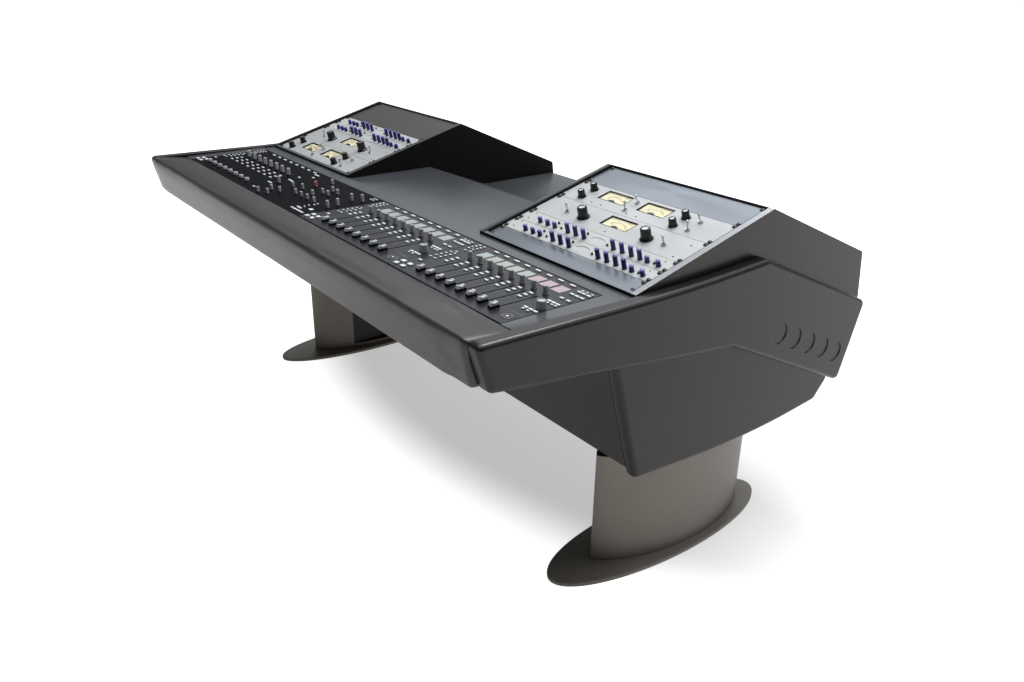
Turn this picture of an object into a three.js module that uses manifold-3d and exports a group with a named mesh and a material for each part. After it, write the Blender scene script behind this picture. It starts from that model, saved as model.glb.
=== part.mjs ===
import * as THREE from "three";
import { mergeVertices } from "three/addons/utils/BufferGeometryUtils.js";
import Module from "manifold-3d";

// A mixing desk for a recording studio: a control surface let into the front, two sloping
// rack towers behind it, a padded armrest and two pedestals.
// Millimetres. +X is the seated user's right, -Y is the user's side, +Z is up, and the
// origin is on the floor under the middle of the desk.

const wasm = await Module();
wasm.setup();

// Overall size
const deskWidth = 1760;
const deskDepth = 1184;

// Stock and fits
const boardThickness = 16;
const seatGap = 0.3;
const cutOverrun = 5;
const weldTolerance = 1e-3;
const arcSteps = 4;
const edgeSteps = 2;

// Armrest pad
const padDepth = 109.5;
const padRearHeight = 712;
const padNoseHeight = 726;
const padNoseOverhang = 3.5;
const padCrown = 2.5;
const padNoseRadius = 19;
const padBottomFrontHeight = 623;
const padBottomFrontSetback = 21;
const padBottomRearHeight = 613;
const padLowerRadius = 9;
const padEndRoll = 22;
const padEndDrop = 14;
const padEndRings = 4;

// Side fascia
const fasciaThickness = 32;
const fasciaEdgeRadius = 10;
const fasciaCornerRadius = 14;
const fasciaNoseTopHeight = 721;
const fasciaNoseTopSetback = 4;
const fasciaNoseBottomHeight = 624;
const fasciaNoseBottomSetback = 34;
const fasciaBellyHeight = 585.4;
const fasciaBellyFromFront = 324.8;
const fasciaSagHeight = 713.5;
const fasciaSagFromFront = 502;
const fasciaRidgeHeight = 727;
const fasciaRidgeFromFront = 760;
const fasciaKneeHeight = 546;
const fasciaKneeFromFront = 677;
const fasciaRearTopHeight = 543;
const fasciaRearTopInset = 15;
const fasciaRearBottomHeight = 344;
const fasciaRearBottomInset = 79;
const recessCount = 5;
const recessDiameter = 50;
const recessDepth = 3;
const recessSides = 20;
const recessFirstAlong = 143.5;
const recessPitch = 64;
const recessBelowEdge = 140.5;

// Rack towers
const rackUnitHeight = 44.45;
const rackUnits = 9;
const meterPanelUnits = 2;
const channelPanelUnits = 1;
const rackPanelWidth = 482.6;
const rackPanelThickness = 3.2;
const rackPanelGap = 0.8;
const rackSideGap = 1.15;
const rackFrontLip = 10;
const rackRearLip = 3;
const rackPanelSink = 5;
const rackSlopeDegrees = 15.2;
const rackChassisWidth = 430;
const rackChassisDepth = 80;
const rackChassisInset = 2;
const towerFrontFromFront = 398.3;
const towerFrontHeight = 716;
const towerRearTopHeight = 661.5;
const towerRearTopInset = 16;
const towerRearBottomHeight = 543;
const towerWall = 16.25;
const towerLidThickness = 12;
const towerBarDepth = 40;
const railWidth = 18;
const railDepth = 12;
const rackScrewInset = 8.75;

// End panels, knee panel and tub
const endPanelThickness = 32;
const endPanelEdgeRadius = 12;
const endPanelBottomHeight = 286;
const endPanelBottomFront = 439.3;
const endPanelFrontCornerRadius = 16;
const endPanelBowDrop = 23.5;
const endPanelBowShare = 0.585;
const bowReachShare = 0.59;
const endPanelBottomRearInset = 116;
const endPanelChamferHeight = 331;
const endPanelChamferInset = 76;
const endPanelSeamHeight = 500;
const endPanelRearTopHeight = 520;
const kneeLeanShare = 0.283;
const kneeRecess = 2.5;
const kneeThickness = 12;
const kneeBottomHeight = 304;
const tubFloorHeight = 291.5;
const tubFloorSetback = 38;

// Tray and surround of the control surface
const trayFrontRoom = 10;
const trayRearRoom = 48;
const ledgeHeight = 710;
const ledgeDepth = 39.5;
const ledgeThickness = 14;
const sideStripHeight = 712;
const sideStripWidth = 44.1;
const trayGroove = 6;
const traySeatDepth = 17;
const traySeatThickness = 8;

// Control surface
const consoleDepth = 242.7;
const consoleFaceHeight = 712;
const consoleFaceThickness = 3;
const consoleChassisSideInset = 8;
const consoleChassisFrontInset = 18;
const consoleChassisRearInset = 18;
const consoleChassisDepth = 62;

// Work deck between the towers
const deckThickness = 14;
const deckFrontHeight = 706;
const deckRearHeight = 626;
const deckFrontRun = 279;
const deckSlopeRun = 203;
const deckRearInset = 18;

// Pedestals
const pedestalInset = 115.7;
const basePlateThickness = 10;
const basePlateHalfWidth = 105;
const basePlateHalfLength = 343;
const basePlateCentreFromFront = 655;
const basePlateSides = 64;
const columnHalfWidth = 83;
const columnHalfLength = 255;
const columnCentreFromFront = 690;
const columnWall = 5;
const columnRoundnessShare = 1.44;
const columnSides = 48;
const columnOpeningLength = 270;
const columnOpeningDepth = 55;
const columnOpeningRim = 12;
const coverThickness = 3;
const coverSetback = 20;

// Faders and data wheels
const channelsPerBank = 8;
const rightBankInset = 322;
const rightBankPitch = 36.2;
const middleBankInset = 755;
const middleBankPitch = 39.1;
const leftBankInset = 69.5;
const leftBankPitch = 41.65;
const faderTravel = 100;
const faderRestFromFront = 35.7;
const faderSlotWidth = 4;
const faderSlotDepth = 22;
const faderEndRoom = 1;
const faderStemWidth = 3.2;
const faderStemLength = 8;
const faderStemDepth = 17;
const faderCapWidth = 11;
const faderCapLength = 22;
const faderCapHeight = 12;
const faderCapTopLength = 15;
const faderCapDip = 2.5;
const faderCapLift = 0.5;
const wheelDiameter = 20;
const wheelHeight = 20;
const wheelSides = 20;
const rightWheelInset = 15;
const middleWheelInset = 423;
const wheelFromFront = 105;
const wheelPinDiameter = 5;
const wheelPinDepth = 6;
const wheelPinRoom = 0.5;

// Knobs and switches that are fixed shapes of their units
const encoderDiameter = 11;
const encoderHeight = 18;
const encoderFromFront = 158.7;
const knobSides = 8;
const blueKnobDiameter = 10;
const blueKnobHeight = 24;
const blueKnobShortHeight = 14;
const blueKnobBelowMiddle = 10;
const meterKnobDiameter = 17;
const meterKnobHeight = 19;
const bigKnobSkirtDiameter = 28;
const bigKnobSkirtHeight = 5;
const bigKnobBodyDiameter = 21;
const bigKnobHeight = 27;
const bigKnobSides = 24;
const bigKnobBelowMiddle = 7.5;
const toggleCollarDiameter = 12;
const toggleCollarHeight = 4;
const toggleCollarBore = 8;
const toggleLeverDiameter = 3.5;
const toggleTipDiameter = 5.5;
const toggleLeverHeight = 24;
const toggleSides = 10;
const meterWidth = 84;
const meterHeight = 43;
const meterRecess = 8;
const meterAboveMiddle = 12.3;
const dishWidth = 42;
const dishHeight = 20;
const dishRecess = 1.5;
const dishSides = 20;

// Places across a rack panel, as shares of half its width
const tallBlueKnobShares = [-0.286, -0.174, -0.062, 0.327, 0.439, 0.551, 0.655];
const shortBlueKnobShares = [-0.692, -0.58, -0.477, 0.742, 0.87];
const dishShare = 0.074;
const singleMeterShare = 0.008;
const bigKnobShares = [-0.39, 0.448];
const singleToggleShares = [-0.622, 0.655];
const doubleMeterShares = [-0.417, 0.118];
const doubleKnobShares = [-0.75, 0.477];
const doubleToggleShares = [-0.141, 0.65];

// Heights of a pair of controls on a two-unit panel, as shares of half its height
const pairShares = [-0.52, 0.4];

// Finishes
const finish = (color, roughness, metalness) =>
  new THREE.MeshStandardMaterial({ color, roughness, metalness });
const greyVinyl = () => finish(0x5a5b5f, 0.6, 0);
const charcoalLacquer = () => finish(0x44423f, 0.55, 0);
const deckLaminate = () => finish(0x5c6064, 0.5, 0);
const taupePaint = () => finish(0x6b6862, 0.5, 0.2);
const darkSteel = () => finish(0x1c1c1e, 0.5, 0.4);
const greyPanel = () => finish(0xa4aab0, 0.4, 0.6);
const palePanel = () => finish(0xd8dcdc, 0.45, 0.1);
const smokePanel = () => finish(0x5a5652, 0.5, 0.3);
const consoleBlack = () => finish(0x3c3e42, 0.5, 0.2);
const blackPlastic = () => finish(0x18181a, 0.35, 0);
const greyPlastic = () => finish(0x8c8f93, 0.4, 0);
const brightMetal = () => finish(0xc8ccd0, 0.25, 1);

// Derived places
const frontY = -deskDepth / 2;
const rearY = deskDepth / 2;
const outerFace = deskWidth / 2 - fasciaThickness - seatGap;
const boardInner = outerFace - endPanelThickness;
const tubHalf = boardInner - seatGap;
const pedestalCentre = outerFace - pedestalInset;
const towerClearHalf = rackPanelWidth / 2 + rackSideGap;
const towerCentre = outerFace - towerWall - towerClearHalf;
const towerInner = towerCentre - towerClearHalf - towerWall;
const bayHalf = towerInner - seatGap;
const towerFrontY = frontY + towerFrontFromFront;
const slope = THREE.MathUtils.degToRad(rackSlopeDegrees);
const rackLength = rackFrontLip + rackUnits * rackUnitHeight + rackRearLip;
const ridgeY = towerFrontY + rackLength * Math.cos(slope);
const ridgeHeight = towerFrontHeight + rackLength * Math.sin(slope);
const padRearY = frontY + padDepth;
const trayFrontY = padRearY + seatGap;
const consoleRearY = trayFrontY + consoleDepth;
const ledgeFrontY = consoleRearY + trayGroove;
const ledgeRearY = ledgeFrontY + ledgeDepth;
const consoleHalf = outerFace - sideStripWidth - 2 * seatGap;
const consoleUnderside = consoleFaceHeight - consoleFaceThickness;
const chassisUnderside = consoleUnderside - consoleChassisDepth;
const trayBottomFrontHeight = chassisUnderside - trayFrontRoom - boardThickness;
const trayBottomRearHeight = chassisUnderside - trayRearRoom - boardThickness;
const tubFloorTop = tubFloorHeight + boardThickness;
const chamferY = rearY - endPanelChamferInset;
const panelFrontAt = (height) =>
  frontY + endPanelBottomFront - kneeLeanShare * (height - endPanelBottomHeight);
const kneeFrontAt = (height) => panelFrontAt(height) + kneeRecess;
const trayUndersideAt = (y) => {
  const share = (y - trayFrontY) / (ledgeRearY - trayFrontY);
  return trayBottomFrontHeight + share * (trayBottomRearHeight - trayBottomFrontHeight);
};
const trayFallShare = (trayBottomRearHeight - trayBottomFrontHeight) / (ledgeRearY - trayFrontY);
const endPanelTopHeight =
  trayUndersideAt(panelFrontAt(0)) / (1 + trayFallShare * kneeLeanShare);
const kneeTop = trayUndersideAt(kneeFrontAt(endPanelTopHeight) + kneeThickness) - seatGap;
const rearLeanShare = endPanelChamferInset / (towerRearBottomHeight - endPanelChamferHeight);
const rearLineAt = (height) => rearY - rearLeanShare * (towerRearBottomHeight - height);
const chamferLeanShare =
  (endPanelBottomRearInset - endPanelChamferInset) / (endPanelChamferHeight - endPanelBottomHeight);
const rearFloorY = chamferY - chamferLeanShare * (endPanelChamferHeight - tubFloorTop);

// Closed outline through corners, each given as [across, up, radius of its rounding].
function roundedOutline(corners) {
  const shape = new THREE.Shape();
  corners.forEach(([across, up, radius = 0], i) => {
    const corner = new THREE.Vector2(across, up);
    const [beforeAcross, beforeUp] = corners.at(i - 1);
    const [afterAcross, afterUp] = corners[(i + 1) % corners.length];
    const back = new THREE.Vector2(beforeAcross, beforeUp).sub(corner).normalize();
    const onward = new THREE.Vector2(afterAcross, afterUp).sub(corner).normalize();
    const halfAngle = Math.acos(back.dot(onward)) / 2;
    const reach = radius / Math.tan(halfAngle);
    const enter = corner.clone().addScaledVector(back, reach);
    shape[i === 0 ? "moveTo" : "lineTo"](enter.x, enter.y);
    if (radius > 0) {
      const inward = back.clone().add(onward).normalize();
      const centre = corner.clone().addScaledVector(inward, radius / Math.sin(halfAngle));
      const start = enter.clone().sub(centre).angle();
      const end = corner.clone().addScaledVector(onward, reach).sub(centre).angle();
      shape.absarc(centre.x, centre.y, radius, start, end, back.cross(onward) > 0);
    }
  });
  return shape;
}

// The middle of three corners, with the radius whose arc spans a share of its shorter side.
function withBow([before, corner, after]) {
  const [start, middle, end] = [before, corner, after].map(([x, y]) => new THREE.Vector2(x, y));
  const back = start.clone().sub(middle);
  const onward = end.clone().sub(middle);
  const halfAngle = Math.abs(back.angleTo(onward)) / 2;
  const reach = bowReachShare * Math.min(back.length(), onward.length());
  return [...corner, reach * Math.tan(halfAngle)];
}

// An outline drawn out to a length, its long edges rounded where a radius is given.
function drawnOut(shape, length, edgeRadius = 0) {
  const geometry = new THREE.ExtrudeGeometry(shape, {
    depth: length - 2 * edgeRadius,
    curveSegments: arcSteps,
    bevelEnabled: edgeRadius > 0,
    bevelSegments: edgeSteps,
    bevelThickness: edgeRadius,
    bevelSize: edgeRadius,
    bevelOffset: -edgeRadius,
  });
  return geometry.translate(0, 0, edgeRadius);
}

// A side outline, in depth and height, drawn out along X from one place to another.
function acrossDesk(corners, fromX, toX, edgeRadius = 0) {
  const sideways = new THREE.Matrix4().makeBasis(
    new THREE.Vector3(0, 1, 0),
    new THREE.Vector3(0, 0, 1),
    new THREE.Vector3(1, 0, 0),
  );
  const geometry = drawnOut(roundedOutline(corners), toX - fromX, edgeRadius);
  return geometry.applyMatrix4(sideways).translate(fromX, 0, 0);
}

function boxBetween([x0, y0, z0], [x1, y1, z1]) {
  const box = new THREE.BoxGeometry(x1 - x0, y1 - y0, z1 - z0);
  return box.translate((x0 + x1) / 2, (y0 + y1) / 2, (z0 + z1) / 2);
}

// An upright round post, from a lower to an upper height.
function post(diameter, [x, y], [fromZ, toZ], sides) {
  const cylinder = new THREE.CylinderGeometry(diameter / 2, diameter / 2, toZ - fromZ, sides);
  return cylinder.rotateX(Math.PI / 2).translate(x, y, (fromZ + toZ) / 2);
}

function toSolid(geometry) {
  const bare = geometry.clone();
  bare.deleteAttribute("normal");
  bare.deleteAttribute("uv");
  const merged = mergeVertices(bare, weldTolerance);
  const vertProperties = merged.attributes.position.array;
  const triVerts = new Uint32Array(merged.index.array);
  return new wasm.Manifold(new wasm.Mesh({ numProp: 3, vertProperties, triVerts }));
}

function toGeometry(solid) {
  const mesh = solid.getMesh();
  const geometry = new THREE.BufferGeometry();
  geometry.setAttribute("position", new THREE.BufferAttribute(mesh.vertProperties, 3));
  geometry.setIndex(new THREE.BufferAttribute(mesh.triVerts, 1));
  geometry.computeVertexNormals();
  return geometry;
}

// Some geometries joined into one, less the ones that cut it.
function shaped(added, cut = []) {
  const whole = added.map(toSolid).reduce((all, one) => all.add(one));
  return toGeometry(cut.map(toSolid).reduce((rest, one) => rest.subtract(one), whole));
}

function piece(name, geometry, material) {
  const mesh = new THREE.Mesh(geometry, material);
  mesh.name = name;
  return mesh;
}

// The left and right copy of a piece that is drawn for the right side.
const sides = [
  ["left", -1],
  ["right", 1],
];
function mirroredPair(name, geometry, material) {
  return sides.map(([side, sign]) => {
    const mesh = piece(`${name}_${side}`, geometry, material());
    mesh.scale.x = sign;
    return mesh;
  });
}

// A crowned bolster with a rolled nose, drawn in at both ends.
function armrestPad() {
  const crownY = (frontY + padRearY) / 2;
  const crownHeight = (padNoseHeight + padRearHeight) / 2 + padCrown;
  const outline = roundedOutline([
    [padRearY, padRearHeight],
    [crownY, crownHeight],
    [frontY - padNoseOverhang, padNoseHeight, padNoseRadius],
    [frontY + padBottomFrontSetback, padBottomFrontHeight, padLowerRadius],
    [padRearY, padBottomRearHeight],
  ]);
  const section = outline.getPoints(arcSteps);
  if (section[0].distanceTo(section.at(-1)) < weldTolerance) section.pop();
  const foremost = Math.min(...section.map((point) => point.x));
  const stretch = (frontY - padRearY) / (foremost - padRearY);
  const middle = new THREE.Vector2(crownY, (padRearHeight + padBottomRearHeight) / 2);
  const padHalf = outerFace - seatGap;
  const stations = [];
  for (let i = 0; i <= padEndRings; i += 1) {
    const turn = (i / padEndRings) * (Math.PI / 2);
    stations.push([padHalf - padEndRoll * (1 - Math.sin(turn)), padEndDrop * (1 - Math.cos(turn))]);
  }
  const rings = [...stations.map(([x, drop]) => [-x, drop]).reverse(), ...stations].map(([x, drop]) =>
    section.map((point) => {
      const atRear = point.x > padRearY - weldTolerance;
      const place = new THREE.Vector2(padRearY + (point.x - padRearY) * stretch, point.y);
      const pull = atRear ? 0 : drop / place.distanceTo(middle);
      place.lerp(middle, pull);
      return new THREE.Vector3(x, place.x, place.y);
    }),
  );
  const count = section.length;
  const triangles = [];
  for (let ring = 0; ring + 1 < rings.length; ring += 1) {
    for (let i = 0; i < count; i += 1) {
      const a = ring * count + i;
      const b = ring * count + ((i + 1) % count);
      triangles.push(a, b, a + count, b, b + count, a + count);
    }
  }
  for (const [ring, outward] of [[0, -1], [rings.length - 1, 1]]) {
    const flat = rings[ring].map((point) => new THREE.Vector2(point.y, point.z));
    for (const face of THREE.ShapeUtils.triangulateShape(flat, [])) {
      const corners = face.map((i) => ring * count + i);
      const [a, b, c] = face.map((i) => flat[i]);
      const turn = b.clone().sub(a).cross(c.clone().sub(a));
      triangles.push(...(turn * outward > 0 ? corners : corners.reverse()));
    }
  }
  const sectionTurn = THREE.ShapeUtils.area(section);
  const geometry = new THREE.BufferGeometry().setFromPoints(rings.flat());
  const walls = (rings.length - 1) * count * 6;
  const wallFaces = triangles.slice(0, walls);
  geometry.setIndex([...(sectionTurn > 0 ? wallFaces : wallFaces.reverse()), ...triangles.slice(walls)]);
  geometry.computeVertexNormals();
  return piece("armrest_pad", geometry, greyVinyl());
}

// An open box that the control surface drops into, with a ledge behind it.
function consoleTray() {
  const half = outerFace - seatGap;
  const rearWallY = ledgeRearY - boardThickness;
  const base = [
    [trayFrontY, trayBottomFrontHeight],
    [ledgeRearY, trayBottomRearHeight],
    [ledgeRearY, trayBottomRearHeight + boardThickness],
    [trayFrontY, trayBottomFrontHeight + boardThickness],
  ];
  const frontTop = consoleUnderside - seatGap;
  const frontWall = boxBetween(
    [-half, trayFrontY, trayBottomFrontHeight],
    [half, trayFrontY + boardThickness, frontTop],
  );
  const rearWall = boxBetween(
    [-half, rearWallY, trayUndersideAt(rearWallY)],
    [half, ledgeRearY, ledgeHeight],
  );
  const ledge = boxBetween(
    [-half, ledgeFrontY, ledgeHeight - ledgeThickness],
    [half, ledgeRearY, ledgeHeight],
  );
  const seat = boxBetween(
    [-half, consoleRearY - traySeatDepth, frontTop - traySeatThickness],
    [half, rearWallY, frontTop],
  );
  const strips = sides.map(([, sign]) => {
    const inner = consoleHalf + seatGap;
    const wall = [
      [trayFrontY, trayBottomFrontHeight],
      [ledgeFrontY, trayUndersideAt(ledgeFrontY)],
      [ledgeFrontY, sideStripHeight],
      [trayFrontY, sideStripHeight],
    ];
    return acrossDesk(wall, sign > 0 ? inner : -half, sign > 0 ? half : -inner);
  });
  const parts = [acrossDesk(base, -half, half), frontWall, rearWall, ledge, seat, ...strips];
  return piece("console_tray", shaped(parts), charcoalLacquer());
}

function kneePanel() {
  const corners = [
    [kneeFrontAt(kneeBottomHeight), kneeBottomHeight + seatGap],
    [kneeFrontAt(kneeBottomHeight) + kneeThickness, kneeBottomHeight + seatGap],
    [kneeFrontAt(kneeTop) + kneeThickness, kneeTop],
    [kneeFrontAt(kneeTop), kneeTop],
  ];
  return piece("knee_panel", acrossDesk(corners, -tubHalf, tubHalf), charcoalLacquer());
}

function tubFloor() {
  const from = [-tubHalf, kneeFrontAt(kneeBottomHeight) + tubFloorSetback, tubFloorHeight];
  const to = [tubHalf, rearY - endPanelBottomRearInset, tubFloorTop];
  return piece("tub_floor", boxBetween(from, to), charcoalLacquer());
}

// Leans out to the rear, and rises to the deck between the towers.
function rearPanel() {
  const top = towerRearBottomHeight - seatGap;
  const foot = tubFloorTop + seatGap;
  const lower = [
    [rearY, top],
    [chamferY, endPanelChamferHeight],
    [rearFloorY, foot],
    [rearFloorY - boardThickness, foot],
    [chamferY - boardThickness, endPanelChamferHeight],
    [rearY - boardThickness, top],
  ];
  const deckUnderside = deckRearHeight - deckThickness - seatGap;
  const lift = deckUnderside - towerRearBottomHeight;
  const rearTopShare = towerRearTopInset / (towerRearTopHeight - towerRearBottomHeight);
  const upper = [
    [rearY, top],
    [rearY - boardThickness, top],
    [rearY - rearTopShare * lift - boardThickness, deckUnderside],
    [rearY - rearTopShare * lift, deckUnderside],
  ];
  const parts = [acrossDesk(lower, -tubHalf, tubHalf), acrossDesk(upper, -bayHalf, bayHalf)];
  return piece("rear_panel", shaped(parts), charcoalLacquer());
}

// A thick lower board with a bowed lower edge, and the thinner outer wall of the tower above.
function endPanels() {
  const bottomFrontY = panelFrontAt(endPanelBottomHeight);
  const bottomRearY = rearY - endPanelBottomRearInset;
  const bowY = bottomFrontY + endPanelBowShare * (bottomRearY - bottomFrontY);
  const bowed = withBow([
    [bottomFrontY, endPanelBottomHeight],
    [bowY, endPanelBottomHeight - endPanelBowDrop],
    [bottomRearY, endPanelBottomHeight],
  ]);
  const lower = [
    [panelFrontAt(endPanelTopHeight), endPanelTopHeight - seatGap],
    [bottomFrontY, endPanelBottomHeight, endPanelFrontCornerRadius],
    bowed,
    [bottomRearY, endPanelBottomHeight, endPanelFrontCornerRadius],
    [chamferY, endPanelChamferHeight, endPanelFrontCornerRadius],
    [rearLineAt(endPanelRearTopHeight), endPanelRearTopHeight],
    [towerFrontY, trayBottomRearHeight - seatGap],
  ];
  const upper = [
    [towerFrontY, endPanelSeamHeight],
    [rearLineAt(endPanelSeamHeight), endPanelSeamHeight],
    [rearY, towerRearBottomHeight],
    [rearY - towerRearTopInset, towerRearTopHeight],
    [ridgeY, ridgeHeight],
    [towerFrontY, towerFrontHeight],
  ];
  const board = acrossDesk(lower, boardInner, outerFace, endPanelEdgeRadius);
  const wall = acrossDesk(upper, outerFace - towerWall, outerFace);
  return mirroredPair("end_panel", shaped([board, wall]), charcoalLacquer);
}

// A boomerang panel with rounded edges and a row of round recesses on its rear arm.
function sideFascias() {
  const ridge = new THREE.Vector2(frontY + fasciaRidgeFromFront, fasciaRidgeHeight);
  const rearTop = new THREE.Vector2(rearY - fasciaRearTopInset, fasciaRearTopHeight);
  const noseTop = [frontY + fasciaNoseTopSetback, fasciaNoseTopHeight];
  const noseBottom = [frontY + fasciaNoseBottomSetback, fasciaNoseBottomHeight];
  const belly = [frontY + fasciaBellyFromFront, fasciaBellyHeight];
  const knee = [frontY + fasciaKneeFromFront, fasciaKneeHeight];
  const sag = [frontY + fasciaSagFromFront, fasciaSagHeight];
  const outline = [
    [...noseTop, fasciaCornerRadius],
    [...noseBottom, fasciaCornerRadius],
    withBow([noseBottom, belly, knee]),
    knee,
    [rearY - fasciaRearBottomInset, fasciaRearBottomHeight, fasciaCornerRadius],
    [rearTop.x, rearTop.y, fasciaCornerRadius],
    [ridge.x, ridge.y, fasciaCornerRadius],
    withBow([[ridge.x, ridge.y], sag, noseTop]),
  ];
  const inner = outerFace + seatGap;
  const outer = deskWidth / 2;
  const along = rearTop.clone().sub(ridge).normalize();
  const recesses = Array.from({ length: recessCount }, (_, i) => {
    const reach = recessFirstAlong + i * recessPitch;
    const place = ridge.clone().addScaledVector(along, reach);
    place.add(new THREE.Vector2(along.y, -along.x).multiplyScalar(recessBelowEdge));
    const length = recessDepth + cutOverrun;
    const disc = new THREE.CylinderGeometry(recessDiameter / 2, recessDiameter / 2, length, recessSides);
    return disc.rotateZ(Math.PI / 2).translate(outer - recessDepth + length / 2, place.x, place.y);
  });
  const panel = acrossDesk(outline, inner, outer, fasciaEdgeRadius);
  return mirroredPair("side_fascia", shaped([panel], recesses), charcoalLacquer);
}

// A full-height divider that is also the tower's inner wall, with the bar across its front.
function towerInnerWalls() {
  const foot = tubFloorTop + seatGap;
  const behindRear = boardThickness + seatGap;
  const behindKnee = (height) => kneeFrontAt(height) + kneeThickness + seatGap;
  const underTray = trayBottomRearHeight - seatGap;
  const outline = [
    [behindKnee(foot), foot],
    [rearFloorY - behindRear, foot],
    [chamferY - behindRear, endPanelChamferHeight],
    [rearY - behindRear, towerRearBottomHeight],
    [rearY, towerRearBottomHeight],
    [rearY - towerRearTopInset, towerRearTopHeight],
    [ridgeY, ridgeHeight],
    [towerFrontY, towerFrontHeight],
    [towerFrontY, underTray],
    [behindKnee(underTray), underTray],
  ];
  const wall = acrossDesk(outline, towerInner, towerInner + towerWall);
  const barRun = (rackFrontLip - rackPanelGap) * Math.cos(slope);
  const bar = [
    [towerFrontY, towerFrontHeight - towerBarDepth],
    [towerFrontY + barRun, towerFrontHeight - towerBarDepth],
    [towerFrontY + barRun, towerFrontHeight + barRun * Math.tan(slope)],
    [towerFrontY, towerFrontHeight],
  ];
  const barEnd = towerCentre + towerClearHalf - seatGap;
  const solid = shaped([wall, acrossDesk(bar, towerInner, barEnd)]);
  return mirroredPair("tower_inner_wall", solid, charcoalLacquer);
}

// The sloping lid behind the rack opening, folded down at the rear.
function towerLids() {
  const fall = new THREE.Vector2(rearY - towerRearTopInset - ridgeY, towerRearTopHeight - ridgeHeight);
  const fallAngle = -fall.angle();
  const cornerY = rearY - towerRearTopInset;
  const drop = towerLidThickness / Math.cos(fallAngle);
  const outline = [
    [ridgeY, ridgeHeight],
    [ridgeY, ridgeHeight - drop],
    [cornerY - towerLidThickness, towerRearTopHeight - drop + towerLidThickness * Math.tan(fallAngle)],
    [rearY - towerLidThickness, towerRearBottomHeight + seatGap],
    [rearY, towerRearBottomHeight + seatGap],
    [cornerY, towerRearTopHeight],
  ];
  const from = towerCentre - towerClearHalf + seatGap;
  const to = towerCentre + towerClearHalf - seatGap;
  return mirroredPair("tower_lid", acrossDesk(outline, from, to), charcoalLacquer);
}

// Flat at the front for a screen stand, falling to a lower flat at the rear.
function workDeck() {
  const fallFrontY = towerFrontY + deckFrontRun;
  const fallRearY = fallFrontY + deckSlopeRun;
  const deckRearY = rearY - deckRearInset;
  const outline = [
    [towerFrontY, deckFrontHeight],
    [towerFrontY, deckFrontHeight - deckThickness],
    [fallFrontY, deckFrontHeight - deckThickness],
    [fallRearY, deckRearHeight - deckThickness],
    [deckRearY, deckRearHeight - deckThickness],
    [deckRearY, deckRearHeight],
    [fallRearY, deckRearHeight],
    [fallFrontY, deckFrontHeight],
  ];
  return piece("work_deck", acrossDesk(outline, -bayHalf, bayHalf), deckLaminate());
}

function basePlates() {
  const outline = new THREE.Shape();
  outline.absellipse(0, 0, basePlateHalfWidth, basePlateHalfLength, 0, 2 * Math.PI);
  const plate = new THREE.ExtrudeGeometry(outline, {
    depth: basePlateThickness,
    curveSegments: basePlateSides / 4,
    bevelEnabled: false,
  });
  plate.translate(pedestalCentre, frontY + basePlateCentreFromFront, 0);
  return mirroredPair("base_plate", plate, taupePaint);
}

// A lens-shaped outline, pointed at both ends, at the distance inside the column's face.
function lensOutline(inset) {
  const points = [];
  for (let i = 0; i < columnSides; i += 1) {
    const turn = (i / columnSides) * 2 * Math.PI;
    const bulge = Math.sign(Math.sin(turn)) * Math.abs(Math.sin(turn)) ** columnRoundnessShare;
    const across = (columnHalfWidth - inset) * bulge;
    const along = (columnHalfLength - inset * columnHalfLength / columnHalfWidth) * Math.cos(turn);
    points.push(new THREE.Vector2(-across, along));
  }
  return new THREE.Shape(points);
}

// A hollow column with a cable way on the side that faces the other pedestal.
function pedestalColumns() {
  const foot = basePlateThickness + seatGap;
  const head = tubFloorHeight - seatGap;
  const centreY = frontY + columnCentreFromFront;
  const shellOf = (inset, from, to) =>
    drawnOut(lensOutline(inset), to - from).translate(pedestalCentre, centreY, from);
  const innerFace = pedestalCentre - columnHalfWidth;
  const opening = boxBetween(
    [innerFace - cutOverrun, centreY - columnOpeningLength / 2, foot + columnOpeningRim],
    [innerFace + columnOpeningDepth, centreY + columnOpeningLength / 2, head - columnOpeningRim],
  );
  const hollow = shellOf(columnWall, foot - cutOverrun, head + cutOverrun);
  return mirroredPair("pedestal_column", shaped([shellOf(0, foot, head)], [hollow, opening]), taupePaint);
}

// The dark plate that closes the cable way, set back from the column's face.
function columnCovers() {
  const centreY = frontY + columnCentreFromFront;
  const from = pedestalCentre - columnHalfWidth + coverSetback;
  const halfLength = columnOpeningLength / 2 - seatGap;
  const plate = boxBetween(
    [from, centreY - halfLength, basePlateThickness + columnOpeningRim + 2 * seatGap],
    [from + coverThickness, centreY + halfLength, tubFloorHeight - columnOpeningRim - 2 * seatGap],
  );
  return mirroredPair("column_cover", plate, darkSteel);
}

// Rack units are drawn on the slope: X across, Y up the slope, Z out of the panels.
const panelFace = -rackPanelSink;
const rackHalf = rackPanelWidth / 2;

function rackUnitSolid(first, units, added = [], cut = []) {
  const startY = rackFrontLip + first * rackUnitHeight;
  const endY = startY + units * rackUnitHeight - rackPanelGap;
  const under = panelFace - rackPanelThickness;
  const plate = boxBetween([-rackHalf, startY, under], [rackHalf, endY, panelFace]);
  const chassisHalf = rackChassisWidth / 2;
  const box = boxBetween(
    [-chassisHalf, startY + rackChassisInset, under - rackChassisDepth],
    [chassisHalf, endY - rackChassisInset, under],
  );
  return shaped([plate, box, ...added], cut);
}

const unitMiddle = (first, units) => rackFrontLip + (first + units / 2) * rackUnitHeight;
const standing = (diameter, share, y, height) =>
  post(diameter, [share * rackHalf, y], [panelFace - rackPanelThickness, panelFace + height], knobSides);
const meterWindow = (share, y) =>
  boxBetween(
    [share * rackHalf - meterWidth / 2, y - meterHeight / 2, panelFace - meterRecess],
    [share * rackHalf + meterWidth / 2, y + meterHeight / 2, panelFace + cutOverrun],
  );

function blankUnit(name, first, units, material) {
  return piece(name, rackUnitSolid(first, units), material());
}

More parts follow.
